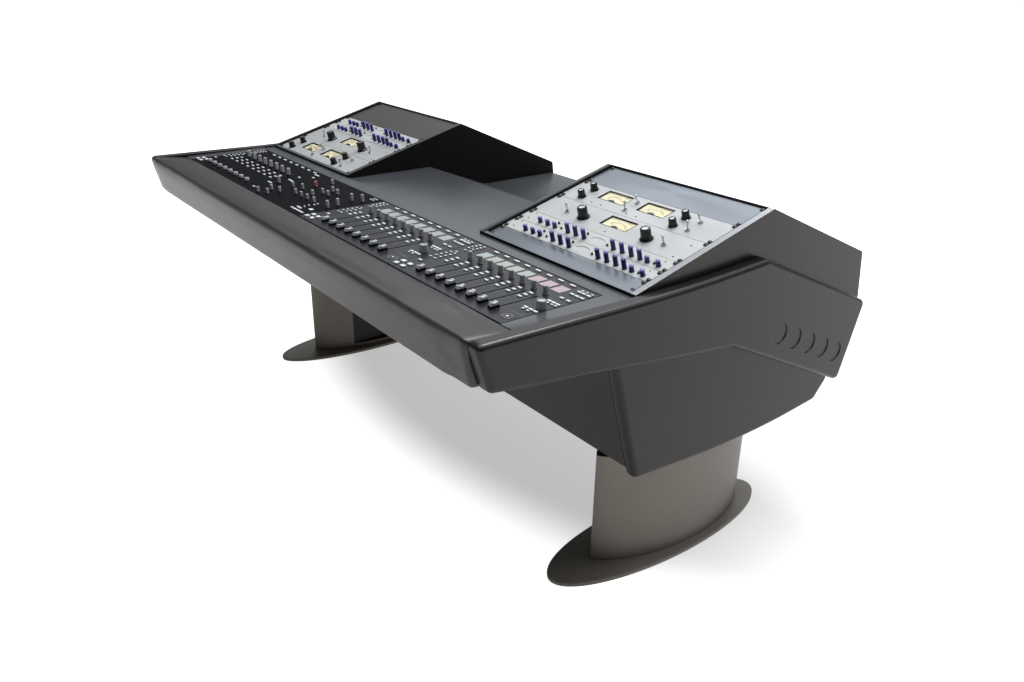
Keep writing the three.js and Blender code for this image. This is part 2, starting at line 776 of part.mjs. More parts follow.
function channelUnit(name, first) {
  const y = unitMiddle(first, channelPanelUnits) - blueKnobBelowMiddle;
  const tall = tallBlueKnobShares.map((share) => standing(blueKnobDiameter, share, y, blueKnobHeight));
  const short = shortBlueKnobShares.map((share) => standing(blueKnobDiameter, share, y, blueKnobShortHeight));
  const dishLength = dishRecess + cutOverrun;
  const dish = new THREE.CylinderGeometry(dishWidth / 2, dishWidth / 2, dishLength, dishSides);
  dish.rotateX(Math.PI / 2).scale(1, dishHeight / dishWidth, 1);
  const dishZ = panelFace + (cutOverrun - dishRecess) / 2;
  dish.translate(dishShare * rackHalf, unitMiddle(first, channelPanelUnits), dishZ);
  return piece(name, rackUnitSolid(first, channelPanelUnits, [...tall, ...short], [dish]), palePanel());
}

function collar(share, y) {
  const span = [panelFace, panelFace + toggleCollarHeight];
  return post(toggleCollarDiameter, [share * rackHalf, y], span, toggleSides);
}

// The bore that a knob's pin or a toggle's lever stands in.
function bore(diameter, share, y, depth) {
  return post(diameter, [share * rackHalf, y], [panelFace - depth, panelFace + cutOverrun], toggleSides);
}

function singleMeterUnit(name, first, movingToggles) {
  const y = unitMiddle(first, meterPanelUnits);
  const cuts = [meterWindow(singleMeterShare, y + meterAboveMiddle)];
  const added = [];
  if (movingToggles) {
    for (const share of singleToggleShares) {
      added.push(collar(share, y - bigKnobBelowMiddle));
      cuts.push(bore(toggleCollarBore, share, y - bigKnobBelowMiddle, 0));
    }
  } else {
    const lever = (share) => standing(toggleTipDiameter, share, y - bigKnobBelowMiddle, toggleLeverHeight);
    added.push(...singleToggleShares.map(lever));
  }
  return piece(name, rackUnitSolid(first, meterPanelUnits, added, cuts), greyPanel());
}

function doubleMeterUnit(name, first) {
  const y = unitMiddle(first, meterPanelUnits);
  const cuts = doubleMeterShares.map((share) => meterWindow(share, y + meterAboveMiddle));
  const pairHeights = pairShares.map((share) => y + share * rackUnitHeight);
  const knobs = doubleKnobShares.flatMap((share) =>
    pairHeights.map((height) => standing(meterKnobDiameter, share, height, meterKnobHeight)),
  );
  const toggles = doubleToggleShares.flatMap((share) =>
    pairHeights.map((height) => standing(toggleTipDiameter, share, height, toggleLeverHeight)),
  );
  return piece(name, rackUnitSolid(first, meterPanelUnits, [...knobs, ...toggles], cuts), greyPanel());
}

// A skirted knob that turns just above the panel.
function bigKnob(name, share, first) {
  const foot = panelFace + seatGap;
  const place = [share * rackHalf, unitMiddle(first, meterPanelUnits) - bigKnobBelowMiddle];
  const skirt = post(bigKnobSkirtDiameter, place, [foot, foot + bigKnobSkirtHeight], bigKnobSides);
  const body = post(bigKnobBodyDiameter, place, [foot, foot + bigKnobHeight], bigKnobSides);
  return piece(name, shaped([skirt, body]), blackPlastic());
}

// A lever that stands in its collar's bore, just clear of the panel.
function toggleLever(name, share, first) {
  const foot = panelFace + seatGap;
  const tip = foot + toggleLeverHeight;
  const profile = [
    new THREE.Vector2(0, foot),
    new THREE.Vector2(toggleLeverDiameter / 4, foot),
    new THREE.Vector2(toggleLeverDiameter / 2, foot + toggleLeverDiameter / 4),
    new THREE.Vector2(toggleTipDiameter / 2, tip - toggleTipDiameter / 2),
    new THREE.Vector2(toggleTipDiameter / 4, tip),
    new THREE.Vector2(0, tip),
  ];
  const lever = new THREE.LatheGeometry(profile, toggleSides).rotateX(Math.PI / 2);
  lever.translate(share * rackHalf, unitMiddle(first, meterPanelUnits) - bigKnobBelowMiddle, 0);
  return piece(name, shaped([lever]), brightMetal());
}

// Rails under the ears of the rack panels, along the whole slope.
function rackRail(name, sign) {
  const top = panelFace - rackPanelThickness - seatGap;
  const across = sign * (rackHalf - rackScrewInset);
  const ends = [seatGap + rackFrontLip, rackLength - rackRearLip - rackPanelGap];
  const rail = boxBetween(
    [across - railWidth / 2, ends[0], top - railDepth],
    [across + railWidth / 2, ends[1], top],
  );
  return piece(name, rail, darkSteel());
}

function rackBay(sign, pieces) {
  const bay = new THREE.Group();
  bay.position.set(sign * towerCentre, towerFrontY, towerFrontHeight);
  bay.rotation.x = slope;
  bay.add(...pieces);
  return bay;
}

function rightBay() {
  return rackBay(1, [
    rackRail("rack_rail_right_inner", -1),
    rackRail("rack_rail_right_outer", 1),
    blankUnit("rack_blank_right_front", 0, 1, greyPanel),
    channelUnit("channel_unit_right_1", 1),
    channelUnit("channel_unit_right_2", 2),
    singleMeterUnit("single_meter_unit_right", 3, true),
    ...bigKnobShares.map((share, i) => bigKnob(`gain_knob_right_${i + 1}`, share, 3)),
    ...singleToggleShares.map((share, i) => toggleLever(`toggle_lever_right_${i + 1}`, share, 3)),
    doubleMeterUnit("double_meter_unit_right", 5),
    blankUnit("rack_blank_right_rear", 7, 2, greyPanel),
  ]);
}

function leftBay() {
  return rackBay(-1, [
    rackRail("rack_rail_left_outer", -1),
    rackRail("rack_rail_left_inner", 1),
    doubleMeterUnit("double_meter_unit_left", 0),
    singleMeterUnit("single_meter_unit_left", 2, false),
    ...bigKnobShares.map((share, i) => bigKnob(`gain_knob_left_${i + 1}`, share, 2)),
    channelUnit("channel_unit_left_1", 4),
    channelUnit("channel_unit_left_2", 5),
    blankUnit("rack_blank_left_rear", 6, 3, smokePanel),
  ]);
}

// Channels of the three banks, by the place of their centre lines across the desk.
const bankChannels = (first, pitch) => Array.from({ length: channelsPerBank }, (_, i) => first + i * pitch);
const rightChannels = bankChannels(consoleHalf - rightBankInset, rightBankPitch);
const middleChannels = bankChannels(consoleHalf - middleBankInset, middleBankPitch);
const leftChannels = bankChannels(leftBankInset - consoleHalf, leftBankPitch);
const faderChannels = [...middleChannels, ...rightChannels];
const faderRestY = trayFrontY + faderRestFromFront;
const wheelY = trayFrontY + wheelFromFront;
const wheelPlaces = [consoleHalf - middleWheelInset, consoleHalf - rightWheelInset];

// One face with its chassis, encoders on every channel, and a slot for each fader.
function controlSurface() {
  const face = boxBetween(
    [-consoleHalf, trayFrontY + seatGap, consoleUnderside],
    [consoleHalf, consoleRearY, consoleFaceHeight],
  );
  const chassisHalf = consoleHalf - consoleChassisSideInset;
  const chassis = boxBetween(
    [-chassisHalf, trayFrontY + consoleChassisFrontInset, chassisUnderside],
    [chassisHalf, consoleRearY - consoleChassisRearInset, consoleUnderside],
  );
  const encoderY = trayFrontY + encoderFromFront;
  const encoderSpan = [consoleUnderside, consoleFaceHeight + encoderHeight];
  const encoders = [...leftChannels, ...faderChannels].map((x) =>
    post(encoderDiameter, [x, encoderY], encoderSpan, knobSides),
  );
  const slotStart = faderRestY - faderStemLength / 2 - faderEndRoom;
  const slotEnd = faderRestY + faderTravel + faderStemLength / 2 + faderEndRoom;
  const slots = faderChannels.map((x) =>
    boxBetween(
      [x - faderSlotWidth / 2, slotStart, consoleFaceHeight - faderSlotDepth],
      [x + faderSlotWidth / 2, slotEnd, consoleFaceHeight + cutOverrun],
    ),
  );
  const pinBore = wheelPinDiameter + 2 * wheelPinRoom;
  const pinSpan = [consoleFaceHeight - wheelPinDepth - wheelPinRoom, consoleFaceHeight + cutOverrun];
  const pins = wheelPlaces.map((x) => post(pinBore, [x, wheelY], pinSpan, wheelSides));
  const solid = shaped([face, chassis, ...encoders], [...slots, ...pins]);
  return piece("control_surface", solid, consoleBlack());
}

// A cap with a dipped top, on a stem that runs in its slot.
function faderCap(name, x) {
  const foot = consoleFaceHeight + faderCapLift;
  const halfFoot = faderCapLength / 2;
  const halfTop = faderCapTopLength / 2;
  const side = [
    [faderRestY - halfFoot, foot],
    [faderRestY + halfFoot, foot],
    [faderRestY + halfTop, foot + faderCapHeight],
    [faderRestY, foot + faderCapHeight - faderCapDip],
    [faderRestY - halfTop, foot + faderCapHeight],
  ];
  const cap = acrossDesk(side, x - faderCapWidth / 2, x + faderCapWidth / 2);
  const stem = boxBetween(
    [x - faderStemWidth / 2, faderRestY - faderStemLength / 2, consoleFaceHeight - faderStemDepth],
    [x + faderStemWidth / 2, faderRestY + faderStemLength / 2, foot + faderCapHeight / 2],
  );
  return piece(name, shaped([cap, stem]), greyPlastic());
}

function dataWheel(name, x) {
  const foot = consoleFaceHeight + seatGap;
  const knob = post(wheelDiameter, [x, wheelY], [foot, foot + wheelHeight], wheelSides);
  const pinSpan = [consoleFaceHeight - wheelPinDepth, foot + seatGap];
  const pin = post(wheelPinDiameter, [x, wheelY], pinSpan, wheelSides);
  return piece(name, shaped([knob, pin]), blackPlastic());
}

const desk = new THREE.Group();
desk.add(
  armrestPad(),
  consoleTray(),
  kneePanel(),
  tubFloor(),
  rearPanel(),
  ...endPanels(),
  ...sideFascias(),
  ...towerInnerWalls(),
  ...towerLids(),
  workDeck(),
  ...basePlates(),
  ...pedestalColumns(),
  ...columnCovers(),
  leftBay(),
  rightBay(),
  controlSurface(),
  ...faderChannels.map((x, i) => faderCap(`fader_cap_${i + 1}`, x)),
  ...wheelPlaces.map((x, i) => dataWheel(`data_wheel_${i + 1}`, x)),
);

export default desk;
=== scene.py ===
"""Models and finishes the pieces of a recording-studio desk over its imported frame."""

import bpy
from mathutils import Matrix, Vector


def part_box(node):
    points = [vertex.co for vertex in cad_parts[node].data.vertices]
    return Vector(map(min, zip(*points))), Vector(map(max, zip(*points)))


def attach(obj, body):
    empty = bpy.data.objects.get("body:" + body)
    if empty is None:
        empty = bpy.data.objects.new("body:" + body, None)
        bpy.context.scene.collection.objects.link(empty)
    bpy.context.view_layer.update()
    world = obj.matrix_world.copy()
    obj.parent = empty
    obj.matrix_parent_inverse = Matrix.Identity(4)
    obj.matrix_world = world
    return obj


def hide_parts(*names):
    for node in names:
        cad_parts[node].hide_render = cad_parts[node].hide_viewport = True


bl_info = {
    "name": "Studio desk",
    "version": (1, 0, 0),
    "blender": (4, 5, 0),
    "location": "View3D > Sidebar > Desk",
    "description": "Models and finishes each piece of a studio desk over its packed frame",
    "category": "Add Mesh",
}

import math

import bmesh
import bpy
from mathutils import Matrix, Vector

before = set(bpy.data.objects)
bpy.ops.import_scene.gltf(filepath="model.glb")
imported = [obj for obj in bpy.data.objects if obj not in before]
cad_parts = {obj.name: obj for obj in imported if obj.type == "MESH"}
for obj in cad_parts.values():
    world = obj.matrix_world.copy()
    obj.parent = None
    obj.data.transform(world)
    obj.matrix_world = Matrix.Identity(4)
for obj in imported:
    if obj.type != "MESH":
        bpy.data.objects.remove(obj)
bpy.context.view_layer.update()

# Places are in millimetres, in the desk's own frame: X to the user's right, Y to the rear, Z up.
MM = 0.001
SIDES = (("left", -1), ("right", 1))

# The armrest pad
PAD_REAR = -482.5
PAD_FRONT = -592.0
PAD_HALF = 847.4
PAD_MIDDLE = (-537.25, 662.5)
PAD_STEPS = 112
PAD_LONGEST_EDGE = 18.0
PAD_HELD_BEHIND = -0.4835
PAD_HELD_BELOW = 0.6195
PAD_SWELL = 0.0022
CLOTH_FRAMES = 20

# The boards
OUTER_FACE = 847.7
FASCIA_FACE = 880.0
FASCIA_INNER_EDGE = 2.5
END_THICKNESS = 32.0
TOWER_EDGE = 0.8
RECESSES = 5
RECESS_FIRST = 143.5
RECESS_PITCH = 64.0
RECESS_DOWN = 140.5
RECESS_RIM = 1.7
RECESS_FLOOR = 0.8

# The towers: the rack panels lie on a slope that starts at the tower's front edge
TOWER_CENTRE = 589.0
TOWER_CLEAR_HALF = 242.45
TOWER_WALL = 16.25
TOWER_FRONT = (-193.7, 716.0)
TOWER_RIDGE = (204.9, 824.3)
SLOPE = math.radians(15.2)
PANEL_HALF = 241.3
PANEL_TOP = -5.0
PANEL_UNDER = -8.2
PANEL_GAP = 0.8
PANEL_EDGE = 0.5
UNIT = 44.45
FRONT_LIP = 10.0
SCREW_ACROSS = 232.55
SCREW_UP = 6.35
CHASSIS = (430.0, 80.0, 2.0)

# The rack units: places across are shares of half a panel's width
PRINT = 0.12
METER_SIZE = (84.0, 43.0)
METER_UP = 12.3
METER_DEPTH = 4.6
METER_RIM = 1.6
METER_CARD = 0.5
METER_REACH = 34.0
METER_SWEEP = 48.0
SINGLE_METER = 0.008
SINGLE_TOGGLES = (-0.622, 0.655)
SINGLE_KNOBS = (-0.39, 0.448)
SINGLE_DOWN = 7.5
PAIR_METERS = (-0.417, 0.118)
PAIR_KNOBS = (-0.75, 0.477)
PAIR_TOGGLES = (-0.141, 0.65)
PAIR_HEIGHTS = (-0.52 * UNIT, 0.4 * UNIT)
CHANNEL_DISH = 0.074
CHANNEL_DOWN = 10.0
TALL_KNOBS = (-0.286, -0.174, -0.062, 0.327, 0.439, 0.551, 0.655)
SHORT_KNOBS = (-0.692, -0.58, -0.477, 0.742, 0.87)
BLACK_KEYS = ((-120.8, 30.0), (-95.8, 15.6), (-21.5, 30.0), (56.0, 15.6), (172.0, 15.4), (197.0, 13.6))
SMALL_KEYS = ((-211.0, 37.0), (-213.0, 12.6), (-192.0, 25.0), (210.0, 33.0), (212.0, 17.0))

# The control surface
CONSOLE_HALF = 803.0
CONSOLE_Y = (-481.9, -239.5)
CONSOLE_TOP = 712.0
CONSOLE_PLATE = 3.0
CONSOLE_CHASSIS = 62.0
CONSOLE_RIM = 2.4
MODULE_EDGES = (-803.0, -406.0, -34.0, 400.0, 803.0)
MIDDLE_BANK = [48.0 + 39.1 * i for i in range(8)]
RIGHT_BANK = [481.0 + 36.2 * i for i in range(8)]
LEFT_BANK = [-733.5 + 41.65 * i for i in range(8)]
FADER_BANKS = MIDDLE_BANK + RIGHT_BANK
SCREEN_SHIFT = 3.0
FADER_Y = -446.5
FADER_TRAVEL = 100.0
ENCODER_Y = -323.5
WHEELS = (380.0, 788.0)
WHEEL_Y = -377.2
ROUND_PAD_Y = -451.0
SLIM_KNOB = 4.3
SLIM_KNOBS = (
    (-270.4, -270.4), (-196.5, -306.0), (-163.9, -308.6), (-195.2, -336.5), (-166.5, -335.0),
    (-272.6, -358.6), (-195.2, -366.0), (-306.0, -371.2), (-233.5, -396.5), (-196.5, -397.3),
    (-163.9, -395.6), (-127.0, -394.3), (-277.8, -422.5), (-309.6, -432.0), (-277.0, -457.3),
    (-309.6, -470.0),
)
TALL_SLIM_KNOBS = ((-61.7, -289.0), (-85.7, -307.3), (-61.7, -359.5), (-59.6, -389.0), (-370.0, -384.0))
ROSE_KNOB = (-274.8, -318.2)

# The pedestals
PEDESTAL_CENTRE = 732.0
PLATE_CENTRE = 63.0
PLATE_HALF = (105.0, 343.0)
PLATE_THICK = 10.0
PLATE_EDGE = 1.6
COLUMN_CENTRE = 98.0
COLUMN_HALF = (83.0, 255.0)
COLUMN_Z = (10.3, 291.2)
COLUMN_WALL = 5.0
COLUMN_POINT = 1.44
COLUMN_OPENING = (5.0, 55.0, 135.0, 12.0)

# The stage, in metres: the studio's bright backdrop stands to the rear and starts at an edge on the left
BACKDROP_WAY = (-0.45, 0.75, 0.48)
BACKDROP_EDGE = (0.5, 0.866, 0.0)
LIGHTS = (
    ("key", (0.3, 1.6, 3.9), (0.86, -0.4, 0.72), 0.9, 42.0),
    ("fill", (2.6, 2.4, 3.6), (0.6, 0.0, 0.6), 1.6, 9.0),
    ("top", (0.1, 0.2, 4.6), (0.0, 0.0, 0.5), 4.3, 205.0),
)
CAMERA_PLACE = (1.951812, -1.337129, 1.314861)
CAMERA_YAW = 0.916270
CAMERA_PITCH = 0.417700
CAMERA_ROLL = 0.016113
CAMERA_LENS = 30.936


# Sizes and colours


def linear(hex_value):
    """An sRGB hex colour as linear red, green and blue."""
    channels = [int(hex_value[i:i + 2], 16) / 255 for i in (1, 3, 5)]
    return tuple(c / 12.92 if c <= 0.04045 else ((c + 0.055) / 1.055) ** 2.4 for c in channels)


def length(name, description, millimetres):
    return bpy.props.FloatProperty(
        name=name, description=description, default=millimetres * MM, min=0.0, unit="LENGTH", precision=4)


def colour(name, description, hex_value):
    return bpy.props.FloatVectorProperty(
        name=name, description=description, default=linear(hex_value), min=0.0, max=1.0, size=3,
        subtype="COLOR")


class DeskSizes(bpy.types.PropertyGroup):
    """Sizes of the edges, knobs and keys."""

    nose_radius: length("Armrest nose", "Radius of the armrest's rolled front edge", 28)
    end_roll: length("Armrest end roll", "How far in from each end the armrest starts to turn down", 15)
    end_drop: length("Armrest end drop", "How far the armrest's surface drops at its ends", 13)
    fascia_edge: length("Fascia edge", "Rounding along the outer edges of the side fascias", 14)
    panel_edge: length("End panel edge", "Rounding along the lower edges of the end panels", 12)
    board_edge: length("Board edge", "Small rounding on the flat boards", 1)
    recess: length("Recess", "Diameter of the round recesses in the fascias", 50)
    recess_depth: length("Recess depth", "Depth of the round recesses in the fascias", 2.2)
    channel_knob: length("Channel knob", "Diameter of the small blue rack knobs", 11.6)
    gain_skirt: length("Gain skirt", "Diameter of the big rack knobs at their skirt", 31)
    gain_body: length("Gain knob", "Diameter of the big rack knobs above the skirt", 24.5)
    gain_height: length("Gain height", "Height of the big rack knobs", 27)
    meter_knob: length("Meter knob", "Diameter of the knobs beside the paired meters", 18)
    encoder: length("Encoder", "Diameter of the control surface's encoders", 11)
    wheel: length("Data wheel", "Diameter of the data wheels", 20)
    key_width: length("Key width", "Width of one small key", 10.8)
    key_depth: length("Key depth", "Depth of one small key", 5.8)
    key_height: length("Key height", "Height of one small key", 2.6)


class DeskColours(bpy.types.PropertyGroup):
    """Colours of the finishes."""

    vinyl: colour("Armrest vinyl", "Grained vinyl of the armrest", "#2B2A2A")
    lacquer: colour("Charcoal lacquer", "Satin lacquer on the boards", "#1C1918")
    lining: colour("Lining", "Matt black inside the towers", "#171717")
    laminate: colour("Deck laminate", "Satin laminate on the deck", "#393B3F")
    trim: colour("Edge trim", "Anodised trim along the tops of the tower walls", "#8E9094")
    taupe: colour("Pedestal paint", "Powder coat on the columns and plates", "#7A746C")
    steel: colour("Black steel", "Powder coat on rails and covers", "#101012")
    aluminium: colour("Rack panel", "Coated aluminium of the meter units", "#A6A8A9")
    blank: colour("Blank panel", "Anodised aluminium of the blank units", "#868C94")
    pale: colour("Channel panel", "Enamel of the channel units", "#A9ADAC")
    smoke: colour("Smoke panel", "Enamel of the rear left blank unit", "#3A3836")
    console: colour("Console", "Textured enamel of the control surface", "#222328")
    console_dark: colour("Dark module", "Enamel of the left modules", "#0A0B0E")
    black: colour("Black plastic", "Moulded knobs and wheels", "#0B0B0D")
    blue: colour("Blue plastic", "Moulded channel knobs", "#1A1664")
    grey: colour("Grey plastic", "Moulded encoders and fader caps", "#8E8F93")
    key: colour("Key", "Silicone keys", "#C6C9CE")
    card: colour("Meter card", "Printed card of the meters", "#E4DCB4")
    screen: colour("Screen", "Channel screens", "#959A98")
    floor: colour("Floor", "Floor of the studio", "#CDCDCD")


def sizes():
    return bpy.context.scene.desk_sizes


def colours():
    return bpy.context.scene.desk_colours


def in_mm(metres):
    return metres / MM


# Finishes


def add_node(material, kind, inputs=None, **settings):
    """Adds a node, with its settings, its values and the sockets that feed it."""
    tree = material.node_tree
    node = tree.nodes.new(kind)
    for setting, value in settings.items():
        setattr(node, setting, value)
    for socket, value in (inputs or {}).items():
        if isinstance(value, bpy.types.NodeSocket):
            tree.links.new(value, node.inputs[socket])
        else:
            node.inputs[socket].default_value = value
    return node


def new_finish(name, values):
    """A named material whose shader holds the values that are the same all over."""
    material = bpy.data.materials.new(name)
    material.use_nodes = True
    shader = material.node_tree.nodes["Principled BSDF"]
    for socket, value in values.items():
        shader.inputs[socket].default_value = value
    return material, shader


def feed(material, shader, sources):
    """Links sources into the shader's sockets."""
    for socket, source in sources.items():
        material.node_tree.links.new(source, shader.inputs[socket])


def every(millimetres):
    """The texture scale that repeats a pattern about every so many millimetres."""
    return 1000.0 / millimetres


def shade(rgb, factor):
    return (*(min(1.0, c * factor) for c in rgb), 1.0)


def finish(name, make, *details):
    """A material by name, made once."""
    return bpy.data.materials.get(name) or make(name, *details)


def grained_vinyl(name):
    # Leather-look vinyl, embossed by a roller and pulled over foam: a pebbled grain with fine
    # creases between the pebbles, softly glossy, with slow changes of tone where it is stretched.
    # Real pebbles are about 1 mm; they are drawn at 2.4 mm so that they show.
    tone = colours().vinyl
    material, shader = new_finish(name, {"IOR": 1.5})
    place = add_node(material, "ShaderNodeTexCoord").outputs["Object"]
    warp = add_node(material, "ShaderNodeTexNoise", {"Vector": place, "Scale": every(9), "Detail": 2.0})
    bent = add_node(material, "ShaderNodeVectorMath", {
        0: warp.outputs["Color"], 1: (0.0016, 0.0016, 0.0016)}, operation="MULTIPLY")
    grain_place = add_node(material, "ShaderNodeVectorMath", {0: place, 1: bent.outputs["Vector"]})
    pebbles = add_node(material, "ShaderNodeTexVoronoi", {
        "Vector": grain_place.outputs["Vector"], "Scale": every(2.4)}, feature="DISTANCE_TO_EDGE")
    domed = add_node(material, "ShaderNodeMapRange", {
        "Value": pebbles.outputs["Distance"], "From Max": 0.28}, interpolation_type="SMOOTHSTEP")
    fine = add_node(material, "ShaderNodeTexNoise", {"Vector": place, "Scale": every(0.9), "Detail": 3.0})
    height = add_node(material, "ShaderNodeMath", {
        0: fine.outputs["Fac"], 1: 0.25, 2: domed.outputs["Result"]}, operation="MULTIPLY_ADD")
    bump = add_node(material, "ShaderNodeBump", {
        "Height": height.outputs["Value"], "Strength": 0.32, "Distance": 0.0003})
    drift = add_node(material, "ShaderNodeTexNoise", {"Vector": place, "Scale": every(180), "Detail": 4.0})
    crease = add_node(material, "ShaderNodeMath", {
        0: drift.outputs["Fac"], 1: 0.75, 2: 0.12}, operation="MULTIPLY_ADD")
    # The creases between the pebbles are painted darker than the pebble tops: painted shade in the creases,
    # mixed with the random drift of tone.
    mixed = add_node(material, "ShaderNodeMath", {
        0: domed.outputs["Result"], 1: 0.22, 2: crease.outputs["Value"]}, operation="MULTIPLY_ADD")
    hue = add_node(material, "ShaderNodeValToRGB", {"Fac": mixed.outputs["Value"]})
    hue.color_ramp.elements[0].color = shade(tone, 0.72)
    hue.color_ramp.elements[1].color = shade(tone, 1.22)
    gloss = add_node(material, "ShaderNodeMapRange", {
        "Value": drift.outputs["Fac"], "To Min": 0.28, "To Max": 0.38})
    feed(material, shader, {
        "Base Color": hue.outputs["Color"], "Roughness": gloss.outputs["Result"],
        "Normal": bump.outputs["Normal"]})
    return material


def sprayed(name, tone, roughness, peel, depth, wear_and_highlight=1.0, values=None):
    """A sprayed or baked coat: orange peel, slow drift of tone and gloss, and edges painted lighter, partly
    as rubbed wear and partly as a painted highlight.
    """
    material, shader = new_finish(name, {"IOR": 1.5, **(values or {})})
    place = add_node(material, "ShaderNodeTexCoord").outputs["Object"]
    drift = add_node(material, "ShaderNodeTexNoise", {
        "Vector": place, "Scale": every(240), "Detail": 5.0, "Roughness": 0.6})
    specks = add_node(material, "ShaderNodeTexNoise", {"Vector": place, "Scale": every(3.5), "Detail": 4.0})
    blend = add_node(material, "ShaderNodeMath", {
        0: specks.outputs["Fac"], 1: 0.4, 2: drift.outputs["Fac"]}, operation="MULTIPLY_ADD")
    hue = add_node(material, "ShaderNodeValToRGB", {"Fac": blend.outputs["Value"]})
    hue.color_ramp.elements[0].position = 0.35
    hue.color_ramp.elements[0].color = shade(tone, 0.88)
    hue.color_ramp.elements[1].position = 0.95
    hue.color_ramp.elements[1].color = shade(tone, 1.12)
    # The edges are painted lighter: partly rubbed wear, partly a painted highlight along the rims.
    edge = add_node(material, "ShaderNodeNewGeometry").outputs["Pointiness"]
    rub_and_highlight = add_node(material, "ShaderNodeMapRange", {
        "Value": edge, "From Min": 0.52, "From Max": 0.62, "To Max": 0.5}, interpolation_type="SMOOTHSTEP")
    scuff_and_highlight = add_node(material, "ShaderNodeMath", {
        0: rub_and_highlight.outputs["Result"], 1: specks.outputs["Fac"]}, operation="MULTIPLY")
    worn_and_lit_hue = add_node(material, "ShaderNodeMixRGB", {
        "Fac": scuff_and_highlight.outputs["Value"], "Color1": hue.outputs["Color"],
        "Color2": shade(tone, 1.0 + 0.9 * wear_and_highlight)})
    gloss = add_node(material, "ShaderNodeMapRange", {
        "Value": drift.outputs["Fac"], "To Min": roughness * 0.85, "To Max": roughness * 1.15})
    skin = add_node(material, "ShaderNodeTexNoise", {"Vector": place, "Scale": every(peel), "Detail": 2.0})
    bump = add_node(material, "ShaderNodeBump", {
        "Height": skin.outputs["Fac"], "Strength": 0.35, "Distance": depth * MM})
    feed(material, shader, {
        "Base Color": worn_and_lit_hue.outputs["Color"], "Roughness": gloss.outputs["Result"],
        "Normal": bump.outputs["Normal"]})
    return material


def charcoal_lacquer(name):
    # Satin lacquer sprayed on routed fibreboard: nearly black, softly glossy, with a faint peel
    # of about 2 mm and edges that catch the light.
    return sprayed(name, colours().lacquer, 0.28, 2.0, 0.03, values={"Specular IOR Level": 0.34})


def black_lining(name):
    # Matt black paint inside the towers: swallows the light beside the bright rack panels.
    return sprayed(name, colours().lining, 0.6, 1.5, 0.05, values={"Specular IOR Level": 0.06})


def deck_laminate(name):
    # High-pressure laminate with a fine pearl texture: grey, even, and a little glossy at a low angle.
    return sprayed(name, colours().laminate, 0.26, 1.6, 0.03, wear_and_highlight=0.5)


def taupe_powder_coat(name):
    # Powder coat baked on steel: taupe, satin, with a tight peel of about 1.5 mm.
    return sprayed(name, colours().taupe, 0.42, 1.5, 0.05, values={"Metallic": 0.15})


def black_powder_coat(name):
    # Black powder coat on folded steel: low gloss and a little rough.
    return sprayed(name, colours().steel, 0.45, 1.2, 0.06)


def pale_enamel(name):
    # Baked enamel on a steel panel: almost white, smooth and satin.
    return sprayed(name, colours().pale, 0.38, 2.2, 0.015, wear_and_highlight=0.1)


def smoke_enamel(name):
    # Baked enamel on steel: brown-grey, satin.
    return sprayed(name, colours().smoke, 0.42, 2.0, 0.03)


def console_enamel(name):
    # Fine-textured enamel on folded steel: charcoal grey with a dense grit of under 1 mm.
    return sprayed(name, colours().console, 0.32, 0.9, 0.05, wear_and_highlight=0.3, values={"Specular IOR Level": 0.25})


def dark_console_enamel(name):
    # The same texture in near black on the left modules.
    return sprayed(
        name, colours().console_dark, 0.5, 0.9, 0.05, wear_and_highlight=0.3, values={"Specular IOR Level": 0.03})


def brushed(name, tone, roughness, metallic=0.9):
    """Aluminium brushed along X and anodised: fine streaks that stretch the highlight."""
    # The brush leaves lines about 0.2 mm apart; they are drawn at 0.7 mm so that they show.
    material, shader = new_finish(name, {"Metallic": metallic, "Anisotropic": 0.35})
    place = add_node(material, "ShaderNodeTexCoord").outputs["Object"]
    drawn = add_node(material, "ShaderNodeMapping", {"Vector": place, "Scale": (0.012, 1.0, 1.0)})
    lines = add_node(material, "ShaderNodeTexNoise", {
        "Vector": drawn.outputs["Vector"], "Scale": every(0.7), "Detail": 3.0})
    cloud = add_node(material, "ShaderNodeTexNoise", {"Vector": place, "Scale": every(150), "Detail": 3.0})
    blend = add_node(material, "ShaderNodeMath", {
        0: lines.outputs["Fac"], 1: 0.35, 2: cloud.outputs["Fac"]}, operation="MULTIPLY_ADD")
    hue = add_node(material, "ShaderNodeValToRGB", {"Fac": blend.outputs["Value"]})
    hue.color_ramp.elements[0].position = 0.3
    hue.color_ramp.elements[0].color = shade(tone, 0.9)
    hue.color_ramp.elements[1].color = shade(tone, 1.1)
    gloss = add_node(material, "ShaderNodeMapRange", {
        "Value": lines.outputs["Fac"], "To Min": roughness - 0.06, "To Max": roughness + 0.06})
    bump = add_node(material, "ShaderNodeBump", {
        "Height": lines.outputs["Fac"], "Strength": 0.1, "Distance": 0.00004})
    feed(material, shader, {
        "Base Color": hue.outputs["Color"], "Roughness": gloss.outputs["Result"],
        "Normal": bump.outputs["Normal"]})
    return material


def meter_panel_aluminium(name):
    # Aluminium panel brushed across its width under a pale satin coat: light silver.
    return brushed(name, colours().aluminium, 0.45, 0.2)


def blank_panel_aluminium(name):
    # Grey-anodised aluminium panel, brushed across its width: a shade darker.
    return brushed(name, colours().blank, 0.33)


def edge_trim_aluminium(name):
    # Satin-anodised aluminium strip along the wall tops: pale, with a soft highlight.
    return brushed(name, colours().trim, 0.42)


def spun_cap(name):
    # Aluminium disc spun in a lathe and lacquered: bright, with a soft sheen.
    return brushed(name, linear("#D6D8DA"), 0.24)


